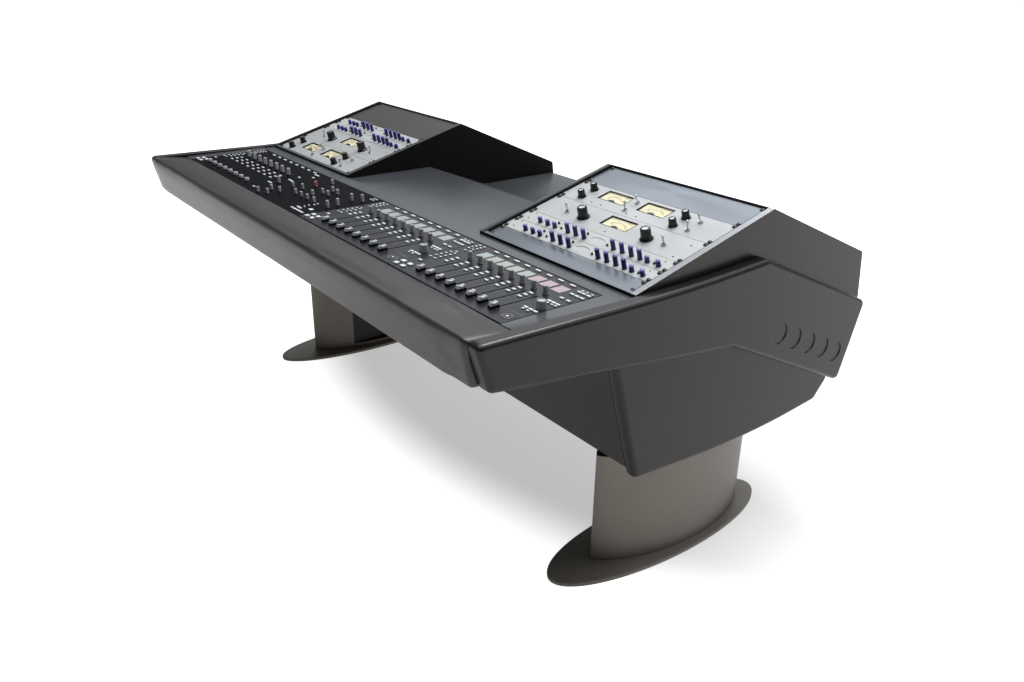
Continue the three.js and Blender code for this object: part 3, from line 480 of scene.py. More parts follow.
def moulded(name, tone, roughness, values=None):
    """Injection-moulded plastic: spark-eroded skin, even colour, gloss a little uneven from handling."""
    material, shader = new_finish(name, {"IOR": 1.5, **(values or {})})
    place = add_node(material, "ShaderNodeTexCoord").outputs["Object"]
    touch = add_node(material, "ShaderNodeTexNoise", {"Vector": place, "Scale": every(14), "Detail": 4.0})
    hue = add_node(material, "ShaderNodeValToRGB", {"Fac": touch.outputs["Fac"]})
    hue.color_ramp.elements[0].color = shade(tone, 0.9)
    hue.color_ramp.elements[1].color = shade(tone, 1.12)
    gloss = add_node(material, "ShaderNodeMapRange", {
        "Value": touch.outputs["Fac"], "To Min": roughness * 0.8, "To Max": roughness * 1.25})
    skin = add_node(material, "ShaderNodeTexNoise", {"Vector": place, "Scale": every(0.5), "Detail": 2.0})
    bump = add_node(material, "ShaderNodeBump", {
        "Height": skin.outputs["Fac"], "Strength": 0.15, "Distance": 0.00003})
    feed(material, shader, {
        "Base Color": hue.outputs["Color"], "Roughness": gloss.outputs["Result"],
        "Normal": bump.outputs["Normal"]})
    return material


def black_plastic(name):
    # ABS knobs moulded in black: fairly glossy, with bright points on their ribs.
    return moulded(name, colours().black, 0.26)


def blue_plastic(name):
    # ABS knobs moulded in deep blue.
    return moulded(name, colours().blue, 0.3)


def blue_top_highlight_plastic(name):
    # The paler blue on the top of each channel knob, with a pointer: a painted highlight where the light
    # falls on the knob tops.
    return moulded(name, tuple(min(1.0, c * 2.0 + 0.05) for c in colours().blue), 0.3)


def grey_plastic(name):
    # Moulded grey ABS, satin.
    return moulded(name, colours().grey, 0.36)


def silver_plastic(name):
    # ABS with a vacuum-metallised silver skin: small bright knobs of the left modules.
    return moulded(name, tuple(min(1.0, c * 2.3) for c in colours().grey), 0.3, {"Metallic": 0.55})


def red_plastic(name):
    # Moulded rose-red ABS: the one coloured knob.
    return moulded(name, linear("#C46A7C"), 0.32)


def silicone_key(name):
    # Translucent white silicone keys: soft, matt and a little waxy.
    return moulded(name, colours().key, 0.42, {
        "Subsurface Weight": 0.15, "Subsurface Radius": (0.002, 0.002, 0.002)})


def frosted_cap(name):
    # Clear polycarbonate fader top with a frosted skin: pale and sparkling.
    return moulded(name, linear("#B8BABF"), 0.22, {"Coat Weight": 0.4, "Coat Roughness": 0.1})


def bright_nickel(name):
    # Nickel plate on turned brass: a mirror with fine turning marks.
    tone = linear("#C9CCD0")
    material, shader = new_finish(name, {"Metallic": 1.0})
    place = add_node(material, "ShaderNodeTexCoord").outputs["Object"]
    marks = add_node(material, "ShaderNodeTexNoise", {"Vector": place, "Scale": every(1.2), "Detail": 3.0})
    hue = add_node(material, "ShaderNodeValToRGB", {"Fac": marks.outputs["Fac"]})
    hue.color_ramp.elements[0].color = shade(tone, 0.86)
    hue.color_ramp.elements[1].color = shade(tone, 1.08)
    gloss = add_node(material, "ShaderNodeMapRange", {
        "Value": marks.outputs["Fac"], "To Min": 0.12, "To Max": 0.28})
    feed(material, shader, {"Base Color": hue.outputs["Color"], "Roughness": gloss.outputs["Result"]})
    return material


def meter_card(name):
    # Printed card behind the meter glass: warm cream, matt, with a faint cloud of its fibres.
    tone = colours().card
    material, shader = new_finish(name, {"Roughness": 0.7})
    place = add_node(material, "ShaderNodeTexCoord").outputs["Object"]
    fibre = add_node(material, "ShaderNodeTexNoise", {"Vector": place, "Scale": every(2.0), "Detail": 4.0})
    hue = add_node(material, "ShaderNodeValToRGB", {"Fac": fibre.outputs["Fac"]})
    hue.color_ramp.elements[0].color = shade(tone, 0.93)
    hue.color_ramp.elements[1].color = shade(tone, 1.06)
    feed(material, shader, {"Base Color": hue.outputs["Color"]})
    return material


def printed_ink(name, hex_value):
    # Screen-printed ink: thin, flat and slightly broken in tone.
    tone = linear(hex_value)
    material, shader = new_finish(name, {"Roughness": 0.5})
    place = add_node(material, "ShaderNodeTexCoord").outputs["Object"]
    breaks = add_node(material, "ShaderNodeTexNoise", {"Vector": place, "Scale": every(0.8), "Detail": 2.0})
    hue = add_node(material, "ShaderNodeValToRGB", {"Fac": breaks.outputs["Fac"]})
    hue.color_ramp.elements[0].color = shade(tone, 0.8)
    hue.color_ramp.elements[1].color = shade(tone, 1.05)
    feed(material, shader, {"Base Color": hue.outputs["Color"]})
    return material


def screen_glass(name, tone):
    # A small screen under acrylic: pale film with a fine pixel grid, satin on top.
    # Real pixels are about 0.2 mm; they are drawn at 1 mm so that they show.
    material, shader = new_finish(name, {
        "Roughness": 0.3, "IOR": 1.45, "Specular IOR Level": 0.3, "Emission Strength": 0.05,
        "Emission Color": (*tone, 1.0)})
    place = add_node(material, "ShaderNodeTexCoord").outputs["Object"]
    grid = add_node(material, "ShaderNodeTexChecker", {
        "Vector": place, "Scale": every(1.0), "Color1": shade(tone, 0.93), "Color2": shade(tone, 1.03)})
    glow = add_node(material, "ShaderNodeTexNoise", {"Vector": place, "Scale": every(22), "Detail": 2.0})
    cloudy = add_node(material, "ShaderNodeMixRGB", {
        "Fac": glow.outputs["Fac"], "Color1": grid.outputs["Color"], "Color2": shade(tone, 0.82)})
    feed(material, shader, {"Base Color": cloudy.outputs["Color"]})
    return material


def clear_window(name):
    # Thin acrylic window over a meter: clear, with a sharp reflection.
    material, _ = new_finish(name, {
        "Base Color": (1.0, 1.0, 1.0, 1.0), "Transmission Weight": 1.0, "IOR": 1.2, "Roughness": 0.02})
    return material


def lacquer():
    return finish("charcoal lacquer", charcoal_lacquer)


def lining():
    return finish("black lining", black_lining)


def steel():
    return finish("black powder coat", black_powder_coat)


def laminate():
    return finish("deck laminate", deck_laminate)


def blank_aluminium():
    return finish("blank panel aluminium", blank_panel_aluminium)


def nickel():
    return finish("bright nickel", bright_nickel)


def spun():
    return finish("spun aluminium", spun_cap)


def black_abs():
    return finish("black ABS", black_plastic)


def grey_abs():
    return finish("grey ABS", grey_plastic)


def white_ink():
    return finish("white ink", printed_ink, "#E6E6E2")


# Mesh work


def box(bm, low, high):
    """A box between two corners."""
    low, high = Vector(low), Vector(high)
    matrix = Matrix.Translation((low + high) / 2) @ Matrix.Diagonal((*(high - low), 1.0))
    return bmesh.ops.create_cube(bm, size=1.0, matrix=matrix)["verts"]


def rod(bm, place, radius, from_z, to_z, sides, top_radius=None):
    """An upright rod or cone from one height to another."""
    matrix = Matrix.Translation((place[0], place[1], (from_z + to_z) / 2))
    return bmesh.ops.create_cone(
        bm, cap_ends=True, segments=sides, radius1=radius,
        radius2=radius if top_radius is None else top_radius, depth=to_z - from_z, matrix=matrix)["verts"]


def edges_of(verts):
    return list(dict.fromkeys(edge for vert in verts for edge in vert.link_edges))


def faces_of(verts):
    return list(dict.fromkeys(face for vert in verts for face in vert.link_faces))


def sharp_edges(edges, degrees=30):
    limit = math.radians(degrees)
    return [edge for edge in edges if len(edge.link_faces) == 2 and edge.calc_face_angle(0.0) > limit]


def soften(bm, edges, width, segments=2):
    """Rounds edges off by a width."""
    return bmesh.ops.bevel(
        bm, geom=edges, offset=width, offset_type="OFFSET", segments=segments, profile=0.5,
        affect="EDGES", clamp_overlap=True, material=-1)["faces"]


def soft_box(bm, low, high, width, segments=2):
    verts = box(bm, low, high)
    before = set(bm.faces) - set(faces_of(verts))
    soften(bm, edges_of(verts), width, segments)
    return [face for face in bm.faces if face not in before]


def extruded(bm, faces, shift):
    """Extrudes a face region and moves it; gives back the moved faces."""
    made = bmesh.ops.extrude_face_region(bm, geom=faces)["geom"]
    bmesh.ops.translate(bm, vec=shift, verts=[part for part in made if isinstance(part, bmesh.types.BMVert)])
    return [part for part in made if isinstance(part, bmesh.types.BMFace)]


def round_corner(bm, vert, radius, segments):
    """Rounds one corner of a flat outline to a radius."""
    back, onward = (edge.other_vert(vert).co - vert.co for edge in vert.link_edges)
    reach = radius / math.tan(back.angle(onward) / 2)
    bmesh.ops.bevel(bm, geom=[vert], offset=reach, offset_type="ABSOLUTE", segments=segments, profile=0.5,
                    affect="VERTICES", clamp_overlap=False, material=-1)


def side_outline(bm, corners, x, segments=8):
    """A flat face at x through corners given as depth, height and, where it is rounded, radius."""
    verts = [bm.verts.new((x, corner[0], corner[1])) for corner in corners]
    bm.faces.new(verts)
    for vert, corner in zip(verts, corners):
        if len(corner) > 2:
            round_corner(bm, vert, corner[2], segments)


def board(corners, from_x, to_x, edge, inner=None, segments=3, corner_segments=8):
    """A board cut to a side outline, with its long edges rounded, the inner ones less where asked."""
    bm = bmesh.new()
    side_outline(bm, corners, from_x, corner_segments)
    extruded(bm, bm.faces[:], (to_x - from_x, 0, 0))
    bmesh.ops.recalc_face_normals(bm, faces=bm.faces)
    for x, width in ((from_x, inner or edge), (to_x, edge)):
        rims = [e for e in bm.edges if all(abs(v.co.x - x) < 1e-3 for v in e.verts)]
        soften(bm, rims, width, segments)
    return bm


def turned(bm, profile, sides, place=(0.0, 0.0, 0.0)):
    """A shape turned about an upright axis, from radius and height points."""
    before = set(bm.verts)
    verts = [bm.verts.new((radius, 0.0, height)) for radius, height in profile]
    edges = [bm.edges.new(pair) for pair in zip(verts, verts[1:])]
    bmesh.ops.spin(bm, geom=verts + edges, cent=(0, 0, 0), axis=(0, 0, 1), dvec=(0, 0, 0), angle=2 * math.pi,
                   steps=sides, use_merge=True, use_duplicate=False)
    made = [vert for vert in bm.verts if vert not in before]
    bmesh.ops.remove_doubles(bm, verts=made, dist=1e-4)
    made = [vert for vert in bm.verts if vert not in before]
    bmesh.ops.recalc_face_normals(bm, faces=faces_of(made))
    bmesh.ops.translate(bm, vec=place, verts=made)
    return made


def shaped_once(build):
    """A mesh in millimetres that is stamped into other pieces."""
    bm = bmesh.new()
    build(bm)
    bmesh.ops.recalc_face_normals(bm, faces=bm.faces)
    mesh = bpy.data.meshes.new("stamp")
    bm.to_mesh(mesh)
    bm.free()
    return mesh


def stamp(bm, mesh, matrix, finishes=None):
    """Adds a copy of a mesh at a place, with its finishes renumbered where a list is given."""
    copy = mesh.copy()
    copy.transform(matrix)
    if finishes:
        for face in copy.polygons:
            face.material_index = finishes[face.material_index]
    bm.from_mesh(copy)
    bpy.data.meshes.remove(copy)


def at(x, y, z=0.0):
    return Matrix.Translation((x, y, z))


def round_axis(x, y, z, degrees, reach, rise=0.0):
    """A place at a distance from an upright axis, turned to face it."""
    return at(x, y, z) @ Matrix.Rotation(math.radians(degrees), 4, "Z") @ at(0, reach, rise)


def paint(faces, index):
    for face in faces:
        face.material_index = index


def coat(verts, index):
    """Gives the faces round some points one of their piece's finishes."""
    paint(faces_of(verts), index)


def block(bm, matrix, size, index=0):
    """A small block about a place, in one of its piece's finishes."""
    made = bmesh.ops.create_cube(bm, size=1.0, matrix=matrix @ Matrix.Diagonal((*size, 1)))["verts"]
    coat(made, index)


def loose_object(bm):
    """A bare object for a short job, such as a cut."""
    mesh = bpy.data.meshes.new("loose")
    bm.to_mesh(mesh)
    bm.free()
    obj = bpy.data.objects.new("loose", mesh)
    bpy.context.scene.collection.objects.link(obj)
    return obj


def combined(bm, tool, operation):
    """One solid cut by another, or joined with it."""
    obj, other = loose_object(bm), loose_object(tool)
    job = obj.modifiers.new("Job", "BOOLEAN")
    job.operation = operation
    job.solver = "EXACT"
    job.object = other
    made = obj.evaluated_get(bpy.context.evaluated_depsgraph_get()).to_mesh()
    result = bmesh.new()
    result.from_mesh(made)
    for done in (obj, other):
        mesh = done.data
        bpy.data.objects.remove(done)
        bpy.data.meshes.remove(mesh)
    bmesh.ops.remove_doubles(result, verts=result.verts, dist=1e-3)
    bmesh.ops.dissolve_degenerate(result, edges=result.edges, dist=1e-3)
    return result


def piece(name, bm, finishes, body="desk", nodes=(), sharp=35, even=True):
    """A finished piece: its mesh in metres, its finishes, its body and the nodes it stands for."""
    bmesh.ops.scale(bm, vec=(MM, MM, MM), verts=bm.verts)
    mesh = bpy.data.meshes.new(name)
    bm.to_mesh(mesh)
    bm.free()
    for material in finishes:
        mesh.materials.append(material)
    mesh.shade_smooth()
    mesh.set_sharp_from_angle(angle=math.radians(sharp))
    obj = bpy.data.objects.new(name, mesh)
    bpy.context.scene.collection.objects.link(obj)
    if even:
        shading = obj.modifiers.new("Even shading", "WEIGHTED_NORMAL")
        shading.keep_sharp = True
    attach(obj, body)
    if nodes:
        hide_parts(*nodes)
    return obj


def mirrored(bm):
    """A copy of a mesh on the desk's other side."""
    copy = bm.copy()
    bmesh.ops.scale(copy, vec=(-1, 1, 1), verts=copy.verts)
    bmesh.ops.reverse_faces(copy, faces=copy.faces)
    return copy


def traced(node):
    """A clean copy of a packed board: its loose triangles merged into flat faces."""
    bm = bmesh.new()
    bm.from_mesh(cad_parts[node].data)
    bmesh.ops.scale(bm, vec=(1 / MM, 1 / MM, 1 / MM), verts=bm.verts)
    bmesh.ops.remove_doubles(bm, verts=bm.verts, dist=1e-2)
    bmesh.ops.dissolve_limit(bm, angle_limit=math.radians(0.5), verts=bm.verts, edges=bm.edges)
    return bm


def rack_frame(side):
    """The frame of a tower's rack slope: X across, Y up the slope, Z out of the panels."""
    return Matrix.Translation((side * TOWER_CENTRE, *TOWER_FRONT)) @ Matrix.Rotation(SLOPE, 4, "X")


def to_rack(bm, side):
    bmesh.ops.transform(bm, matrix=rack_frame(side), verts=bm.verts)
    return bm


# Armrest


def pad_rings():
    """Places along the pad where its section is set, closer together at the rolled ends."""
    roll = in_mm(sizes().end_roll)
    right = [PAD_HALF - roll * (1 - math.sin(math.radians(15 * i))) for i in range(7)]
    run = PAD_HALF - roll - 12
    middle = [-run + 2 * run * i / PAD_STEPS for i in range(PAD_STEPS + 1)]
    return [-x for x in reversed(right)] + middle + right


def padded_bolster():
    """The pad as quads: a crowned section carried along the desk and drawn in at both ends."""
    bm = bmesh.new()
    section = [
        (PAD_REAR, 712.0, 4.0),
        (-537.2, 721.5, 900.0),
        (-595.5, 726.0, in_mm(sizes().nose_radius)),
        (-571.0, 623.0, 9.0),
        (PAD_REAR, 613.0, 3.0),
    ]
    rings = pad_rings()
    side_outline(bm, section, rings[0], 7)
    foremost = min(vert.co.y for vert in bm.verts)
    stretch = (PAD_FRONT - PAD_REAR) / (foremost - PAD_REAR)
    for vert in bm.verts:
        vert.co.y = PAD_REAR + (vert.co.y - PAD_REAR) * stretch
    long_edges = [edge for edge in bm.edges if edge.calc_length() > PAD_LONGEST_EDGE]
    bmesh.ops.subdivide_edges(bm, edges=long_edges, cuts=5)
    first = faces = bm.faces[:]
    for previous, x in zip(rings, rings[1:]):
        onward = extruded(bm, faces, (x - previous, 0, 0))
        if faces != first:
            bmesh.ops.delete(bm, geom=faces, context="FACES_ONLY")
        faces = onward
    bmesh.ops.recalc_face_normals(bm, faces=bm.faces)
    draw_in_ends(bm)
    return bm


def draw_in_ends(bm):
    """Rolls the cover down towards both ends of the pad; its back edge stays on the tray."""
    roll = in_mm(sizes().end_roll)
    drop = in_mm(sizes().end_drop)
    middle = Vector(PAD_MIDDLE)
    for vert in bm.verts:
        share = min(1.0, max(0.0, (abs(vert.co.x) - PAD_HALF + roll) / roll))
        place = Vector((vert.co.y, vert.co.z))
        front = min(1.0, max(0.0, (PAD_REAR - place.x) / 6))
        inward = (middle - place).normalized() * drop * (1 - math.sqrt(1 - share * share))
        vert.co.y += inward.x * front
        vert.co.z += inward.y * (0.35 + 0.65 * front)


def swell(obj, limit):
    """Lets the filling push the cover out by Blender's cloth, held at the back and beneath."""
    mesh = obj.data
    rest = [vert.co.copy() for vert in mesh.vertices]
    fixed = [v.index for v in mesh.vertices if v.co.y > PAD_HELD_BEHIND or v.co.z < PAD_HELD_BELOW]
    held = obj.vertex_groups.new(name="held")
    held.add(fixed, 1.0, "REPLACE")
    cloth = obj.modifiers.new("Filling", "CLOTH")
    cloth.settings.quality = 6
    cloth.settings.mass = 0.4
    cloth.settings.tension_stiffness = 40
    cloth.settings.compression_stiffness = 40
    cloth.settings.shear_stiffness = 20
    cloth.settings.bending_stiffness = 8
    cloth.settings.use_pressure = True
    cloth.settings.uniform_pressure_force = 4
    cloth.settings.effector_weights.gravity = 0
    cloth.settings.vertex_group_mass = "held"
    cloth.point_cache.frame_start = 1
    cloth.point_cache.frame_end = CLOTH_FRAMES
    scene = bpy.context.scene
    for number in range(1, CLOTH_FRAMES + 1):
        scene.frame_set(number)
    swollen = obj.evaluated_get(bpy.context.evaluated_depsgraph_get()).to_mesh()
    moved = [vert.co.copy() for vert in swollen.vertices]
    obj.modifiers.remove(cloth)
    obj.vertex_groups.clear()
    scene.frame_set(1)
    low, high = (Vector(corner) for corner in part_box("armrest_pad"))
    for vert, before, after in zip(mesh.vertices, rest, moved):
        push = after - before
        if push.length > limit:
            push *= limit / push.length
        place = before + push
        vert.co = [min(max(p, a), b) for p, a, b in zip(place, low, high)]


class DESK_OT_armrest(bpy.types.Operator):
    """Model the padded armrest"""

    bl_idname = "desk.armrest"
    bl_label = "Armrest"

    def execute(self, context):
        cover = finish("grained vinyl", grained_vinyl)
        obj = piece("armrest_cover", padded_bolster(), [cover], nodes=("armrest_pad",),
                    sharp=180, even=False)
        swell(obj, PAD_SWELL)
        smooth = obj.modifiers.new("Smooth", "SUBSURF")
        smooth.levels = smooth.render_levels = 1
        return {"FINISHED"}


# Boards


FASCIA = [
    (-588.0, 721.0, 14.0),
    (-558.0, 624.0, 14.0),
    (-267.2, 585.4, 16900.0),
    (85.0, 546.0),
    (513.0, 344.0, 14.0),
    (577.0, 543.0, 14.0),
    (168.0, 727.0, 14.0),
    (-90.0, 713.5, 4500.0),
]
END_BOARD = [
    (-237.5, 585.5),
    (-152.7, 286.0, 16.0),
    (215.1, 262.5, 2010.0),
    (476.0, 286.0, 16.0),
    (516.0, 331.0, 16.0),
    (583.8, 520.0),
    (-193.7, 582.7),
]
TOWER_SIDE = [
    (-193.7, 500.0),
    (576.6, 500.0),
    (592.0, 543.0),
    (576.0, 661.5),
    (204.9, 824.3),
    (-193.7, 716.0),
]


class DESK_OT_side_fascias(bpy.types.Operator):
    """Model the rounded side fascias with their round recesses"""

    bl_idname = "desk.side_fascias"
    bl_label = "Side fascias"

    def execute(self, context):
        edge = in_mm(sizes().fascia_edge)
        depth = in_mm(sizes().recess_depth)
        bm = board(FASCIA, OUTER_FACE + 0.3, FASCIA_FACE, edge, inner=FASCIA_INNER_EDGE, segments=6,
                   corner_segments=10)
        bm = combined(bm, self.recesses(depth), "DIFFERENCE")
        rims = [e for e in self.edges_at(bm, FASCIA_FACE) if e.calc_length() < 4
                and min(v.co.y for v in e.verts) > 180]
        soften(bm, rims, RECESS_RIM, 3)
        soften(bm, self.edges_at(bm, FASCIA_FACE - depth), RECESS_FLOOR, 2)
        for side, sign in SIDES:
            copy = bm.copy() if sign > 0 else mirrored(bm)
            piece(f"fascia_{side}", copy, [lacquer()], nodes=(f"side_fascia_{side}",))
        bm.free()
        return {"FINISHED"}

    def recesses(self, depth):
        """The row of discs that cut the recesses, along the rear run of the fascia."""
        radius = in_mm(sizes().recess) / 2
        ridge, rear = Vector(FASCIA[6][:2]), Vector(FASCIA[5][:2])
        along = (rear - ridge).normalized()
        down = Vector((along.y, -along.x))
        cutter = bmesh.new()
        for i in range(RECESSES):
            spot = ridge + along * (RECESS_FIRST + RECESS_PITCH * i) + down * RECESS_DOWN
            place = Matrix.Translation((FASCIA_FACE - depth + 4, spot.x, spot.y))
            bmesh.ops.create_cone(cutter, cap_ends=True, segments=48, radius1=radius, radius2=radius,
                                  depth=8.0, matrix=place @ Matrix.Rotation(math.pi / 2, 4, "Y"))
        return cutter

    def edges_at(self, bm, x):
        """The square edges that lie on the plane at x."""
        return [e for e in bm.edges if all(abs(v.co.x - x) < 1e-2 for v in e.verts)
                and e.calc_face_angle(0.0) > 1]


class DESK_OT_end_panels(bpy.types.Operator):
    """Model the end panels: a thick lower board and the tower's outer wall"""

    bl_idname = "desk.end_panels"
    bl_label = "End panels"

    def execute(self, context):
        edge = in_mm(sizes().panel_edge)
        lower = board(END_BOARD, OUTER_FACE - END_THICKNESS, OUTER_FACE, edge, segments=6)
        upper = board(TOWER_SIDE, OUTER_FACE - TOWER_WALL, OUTER_FACE, TOWER_EDGE, segments=2)
        bm = combined(lower, upper, "UNION")
        for side, sign in SIDES:
            copy = bm.copy() if sign > 0 else mirrored(bm)
            piece(f"end_board_{side}", copy, [lacquer()], nodes=(f"end_panel_{side}",))
        bm.free()
        return {"FINISHED"}


class DESK_OT_boards(bpy.types.Operator):
    """Trace the flat boards from the frame and ease their edges"""

    bl_idname = "desk.boards"
    bl_label = "Boards"

    def execute(self, context):
        boards = {
            "console_tray": (laminate(), "charcoal_lacquer"),
            "knee_panel": (lacquer(), "charcoal_lacquer"),
            "tub_floor": (lacquer(), "charcoal_lacquer"),
            "rear_panel": (lacquer(), "charcoal_lacquer"),
            "work_deck": (laminate(), "deck_laminate"),
            "tower_inner_wall_left": (lining(), "charcoal_lacquer"),
            "tower_inner_wall_right": (lining(), "charcoal_lacquer"),
            "tower_lid_left": (lacquer(), "charcoal_lacquer"),
            "tower_lid_right": (lacquer(), "charcoal_lacquer"),
            "column_cover_left": (steel(), "dark_steel"),
            "column_cover_right": (steel(), "dark_steel"),
            "rack_rail_left_outer": (steel(), "dark_steel"),
            "rack_rail_left_inner": (steel(), "dark_steel"),
            "rack_rail_right_inner": (steel(), "dark_steel"),
            "rack_rail_right_outer": (steel(), "dark_steel"),
        }
        width = in_mm(sizes().board_edge)
        for node, (material, slot) in boards.items():
            bm = traced(node)
            if node == "knee_panel":
                # It runs a few millimetres into a groove in each end panel.
                bmesh.ops.scale(bm, vec=(1.004, 1, 1), verts=bm.verts)
            soften(bm, sharp_edges(bm.edges), width, 2)
            piece(f"{node}_board", bm, [material], nodes=(node,))
        return {"FINISHED"}


class DESK_OT_edge_trims(bpy.types.Operator):
    """Model the trims on the tower walls, the front bars and the black linings beside the rack panels"""

    bl_idname = "desk.edge_trims"
    bl_label = "Edge trims"

    def execute(self, context):
        run = math.hypot(TOWER_RIDGE[0] - TOWER_FRONT[0], TOWER_RIDGE[1] - TOWER_FRONT[1])
        clear = TOWER_CLEAR_HALF
        outside = clear + TOWER_WALL - 0.4
        bar = clear - 0.3
        trim = finish("edge trim aluminium", edge_trim_aluminium)
        for side, sign in SIDES:
            bm = bmesh.new()
            # The right tower's outer wall has a pale trim, and both inner walls have one of laminate.
            for low, high in ((-outside, -clear - 5.5), (clear + 1.0, outside)):
                if sign < 0 and low < 0:
                    continue
                strip = soft_box(bm, (low, 0.6, -0.4), (high, run - 0.6, 0.25), 0.2, 2)
                paint(strip, 1 if low * sign < 0 else 0)
            piece(f"wall_trim_{side}", to_rack(bm, sign), [trim, laminate()])
            bm = bmesh.new()
            soft_box(bm, (-bar, 0.4, -5.0), (bar, FRONT_LIP - 1.0, 0.3), 0.2, 2)
            piece(f"front_bar_{side}", to_rack(bm, sign), [blank_aluminium()])
            bm = bmesh.new()
            for edge in (-1, 1):
                near, far = sorted((edge * (clear + 0.1), edge * (clear - 0.9)))
                soft_box(bm, (near, FRONT_LIP, -26.0), (far, run - 3, 0.2 if edge < 0 else -0.2), 0.15, 1)
            soft_box(bm, (-clear - 5.2, FRONT_LIP - 8, -0.3), (-clear, run - 0.6, 0.3), 0.15, 1)
            piece(f"tower_lining_{side}", to_rack(bm, sign), [lining()])
        return {"FINISHED"}


# Rack units


# Places in the list of a meter unit's finishes, after the panel's own
NICKEL, LINER, CARD, INK, RED_INK, WINDOW, SPUN, WHITE_INK, BLACK = range(1, 10)
# Places in the list of a channel unit's finishes, after the panel's own
CHANNEL_BLACK, BLUE, PALE_BLUE_HIGHLIGHT, CHANNEL_WHITE, GREY_INK = range(1, 6)


def screw_mesh():
    """A pan-head rack screw on a cup washer: its head stands 3.6 mm proud and has a round recess."""

    def build(bm):
        turned(bm, [(0, 0), (5.9, 0), (5.9, 0.7), (5.2, 1.2), (4.3, 1.2), (4.3, 1.9), (3.9, 2.9), (2.6, 3.5),
                    (1.5, 3.6), (0.9, 2.4), (0, 2.2)], 20)

    return shaped_once(build)


def unit_plate(first, units):
    """A rack panel with eased edges and its chassis behind it; gives back the mesh and its lower edge."""
    start = FRONT_LIP + first * UNIT
    end = start + units * UNIT - PANEL_GAP
    bm = bmesh.new()
    box(bm, (-PANEL_HALF, start, PANEL_UNDER), (PANEL_HALF, end, PANEL_TOP))
    soften(bm, bm.edges[:], PANEL_EDGE, 2)
    width, deep, inset = CHASSIS
    soft_box(bm, (-width / 2, start + inset, PANEL_UNDER - deep), (width / 2, end - inset, PANEL_UNDER + 0.2),
             1.0, 1)
    return bm, start


def fasten(bm, first, units, screw, index):
    """Puts a screw in each corner of a rack panel."""
    start = FRONT_LIP + first * UNIT
    for x in (-SCREW_ACROSS, SCREW_ACROSS):
        for up in (SCREW_UP, units * UNIT - SCREW_UP):
            stamp(bm, screw, at(x, start + up, PANEL_TOP), [index])


def meter_wells(bm, shares, y):
    """Cuts a well for each meter."""
    half_x, half_y = METER_SIZE[0] / 2, METER_SIZE[1] / 2
    cutter = bmesh.new()
    for share in shares:
        x = share * PANEL_HALF
        box(cutter, (x - half_x, y - half_y, PANEL_TOP - 8), (x + half_x, y + half_y, PANEL_TOP + 3))
    return combined(bm, cutter, "DIFFERENCE")


def meter(bm, x, y):
    """A moving-coil meter in its well: black liner, cream card, printed arc, needle and pivot cover."""
    half_x, half_y = METER_SIZE[0] / 2, METER_SIZE[1] / 2
    in_x, in_y = half_x - METER_RIM, half_y - METER_RIM
    floor = PANEL_TOP - METER_DEPTH
    top = floor + METER_CARD
    for low, high in (
        ((-half_x, -half_y), (-in_x, half_y)),
        ((in_x, -half_y), (half_x, half_y)),
        ((-in_x, -half_y), (in_x, -in_y)),
        ((-in_x, in_y), (in_x, half_y)),
    ):
        wall = box(bm, (x + low[0], y + low[1], floor), (x + high[0], y + high[1], PANEL_TOP + 0.25))
        coat(wall, LINER)
    coat(box(bm, (x - in_x, y - in_y, floor), (x + in_x, y + in_y, top)), CARD)
    pivot = y - half_y - 6
    for i in range(21):
        long = 4.5 if i % 4 == 0 else 2.6
        turn = METER_SWEEP * (1 - i / 10)
        spot = round_axis(x, pivot, top, turn, METER_REACH + long / 2, PRINT / 2)
        block(bm, spot, (0.55, long, PRINT), RED_INK if i > 13 else INK)
    for i in range(24):
        turn = METER_SWEEP * (1 - (i + 0.5) / 12)
        spot = round_axis(x, pivot, top, turn, METER_REACH, PRINT / 2)
        block(bm, spot, (2.45, 1.1 if i > 16 else 0.5, PRINT), RED_INK if i > 16 else INK)
    block(bm, round_axis(x, pivot, top + 1.2, 38, METER_REACH / 2 + 5), (0.5, METER_REACH, 0.3), INK)
    cover = rod(bm, (x, y - in_y), 11, top, top + 2.4, 24, 10)
    for vert in cover:
        vert.co.y = max(vert.co.y, y - in_y)
    coat(cover, LINER)
    coat(box(bm, (x - in_x, y - in_y, PANEL_TOP - 1.4), (x + in_x, y + in_y, PANEL_TOP - 0.8)), WINDOW)


def fluted_knob(bm, radius, height, flutes, skirt=None):
    """A knob with flutes round its grip, a skirt where it has one, and a recessed silver cap."""
    base = 0.0
    if skirt:
        turned(bm, [(0, 0), (skirt, 0), (skirt, 1.6), (skirt - 1.2, 3.4), (radius + 0.6, 5), (0, 5)], 40)
        base = 4.6
    body = turned(bm, [
        (0, base), (radius, base), (radius * 0.96, height - 1.6), (radius * 0.9, height - 0.5),
        (radius * 0.82, height), (radius * 0.62, height), (radius * 0.6, height - 0.8), (0, height - 0.8),
    ], flutes * 4)
    for vert in body:
        if math.hypot(vert.co.x, vert.co.y) > radius * 0.85:
            turn = math.atan2(vert.co.y, vert.co.x)
            cut = 1 - 0.05 * (0.5 - 0.5 * math.cos(turn * flutes))
            vert.co.x *= cut
            vert.co.y *= cut
    for face in faces_of(body):
        flat = face.normal.z > 0.9 or all(abs(v.co.z - height + 0.8) < 1e-3 for v in face.verts)
        inside = all(math.hypot(v.co.x, v.co.y) < radius * 0.63 for v in face.verts)
        face.material_index = 1 if flat and inside else 0
    coat(box(bm, (-0.6, radius * 0.55, height - 0.9), (0.6, radius * 0.88, height + 0.15)), 2)


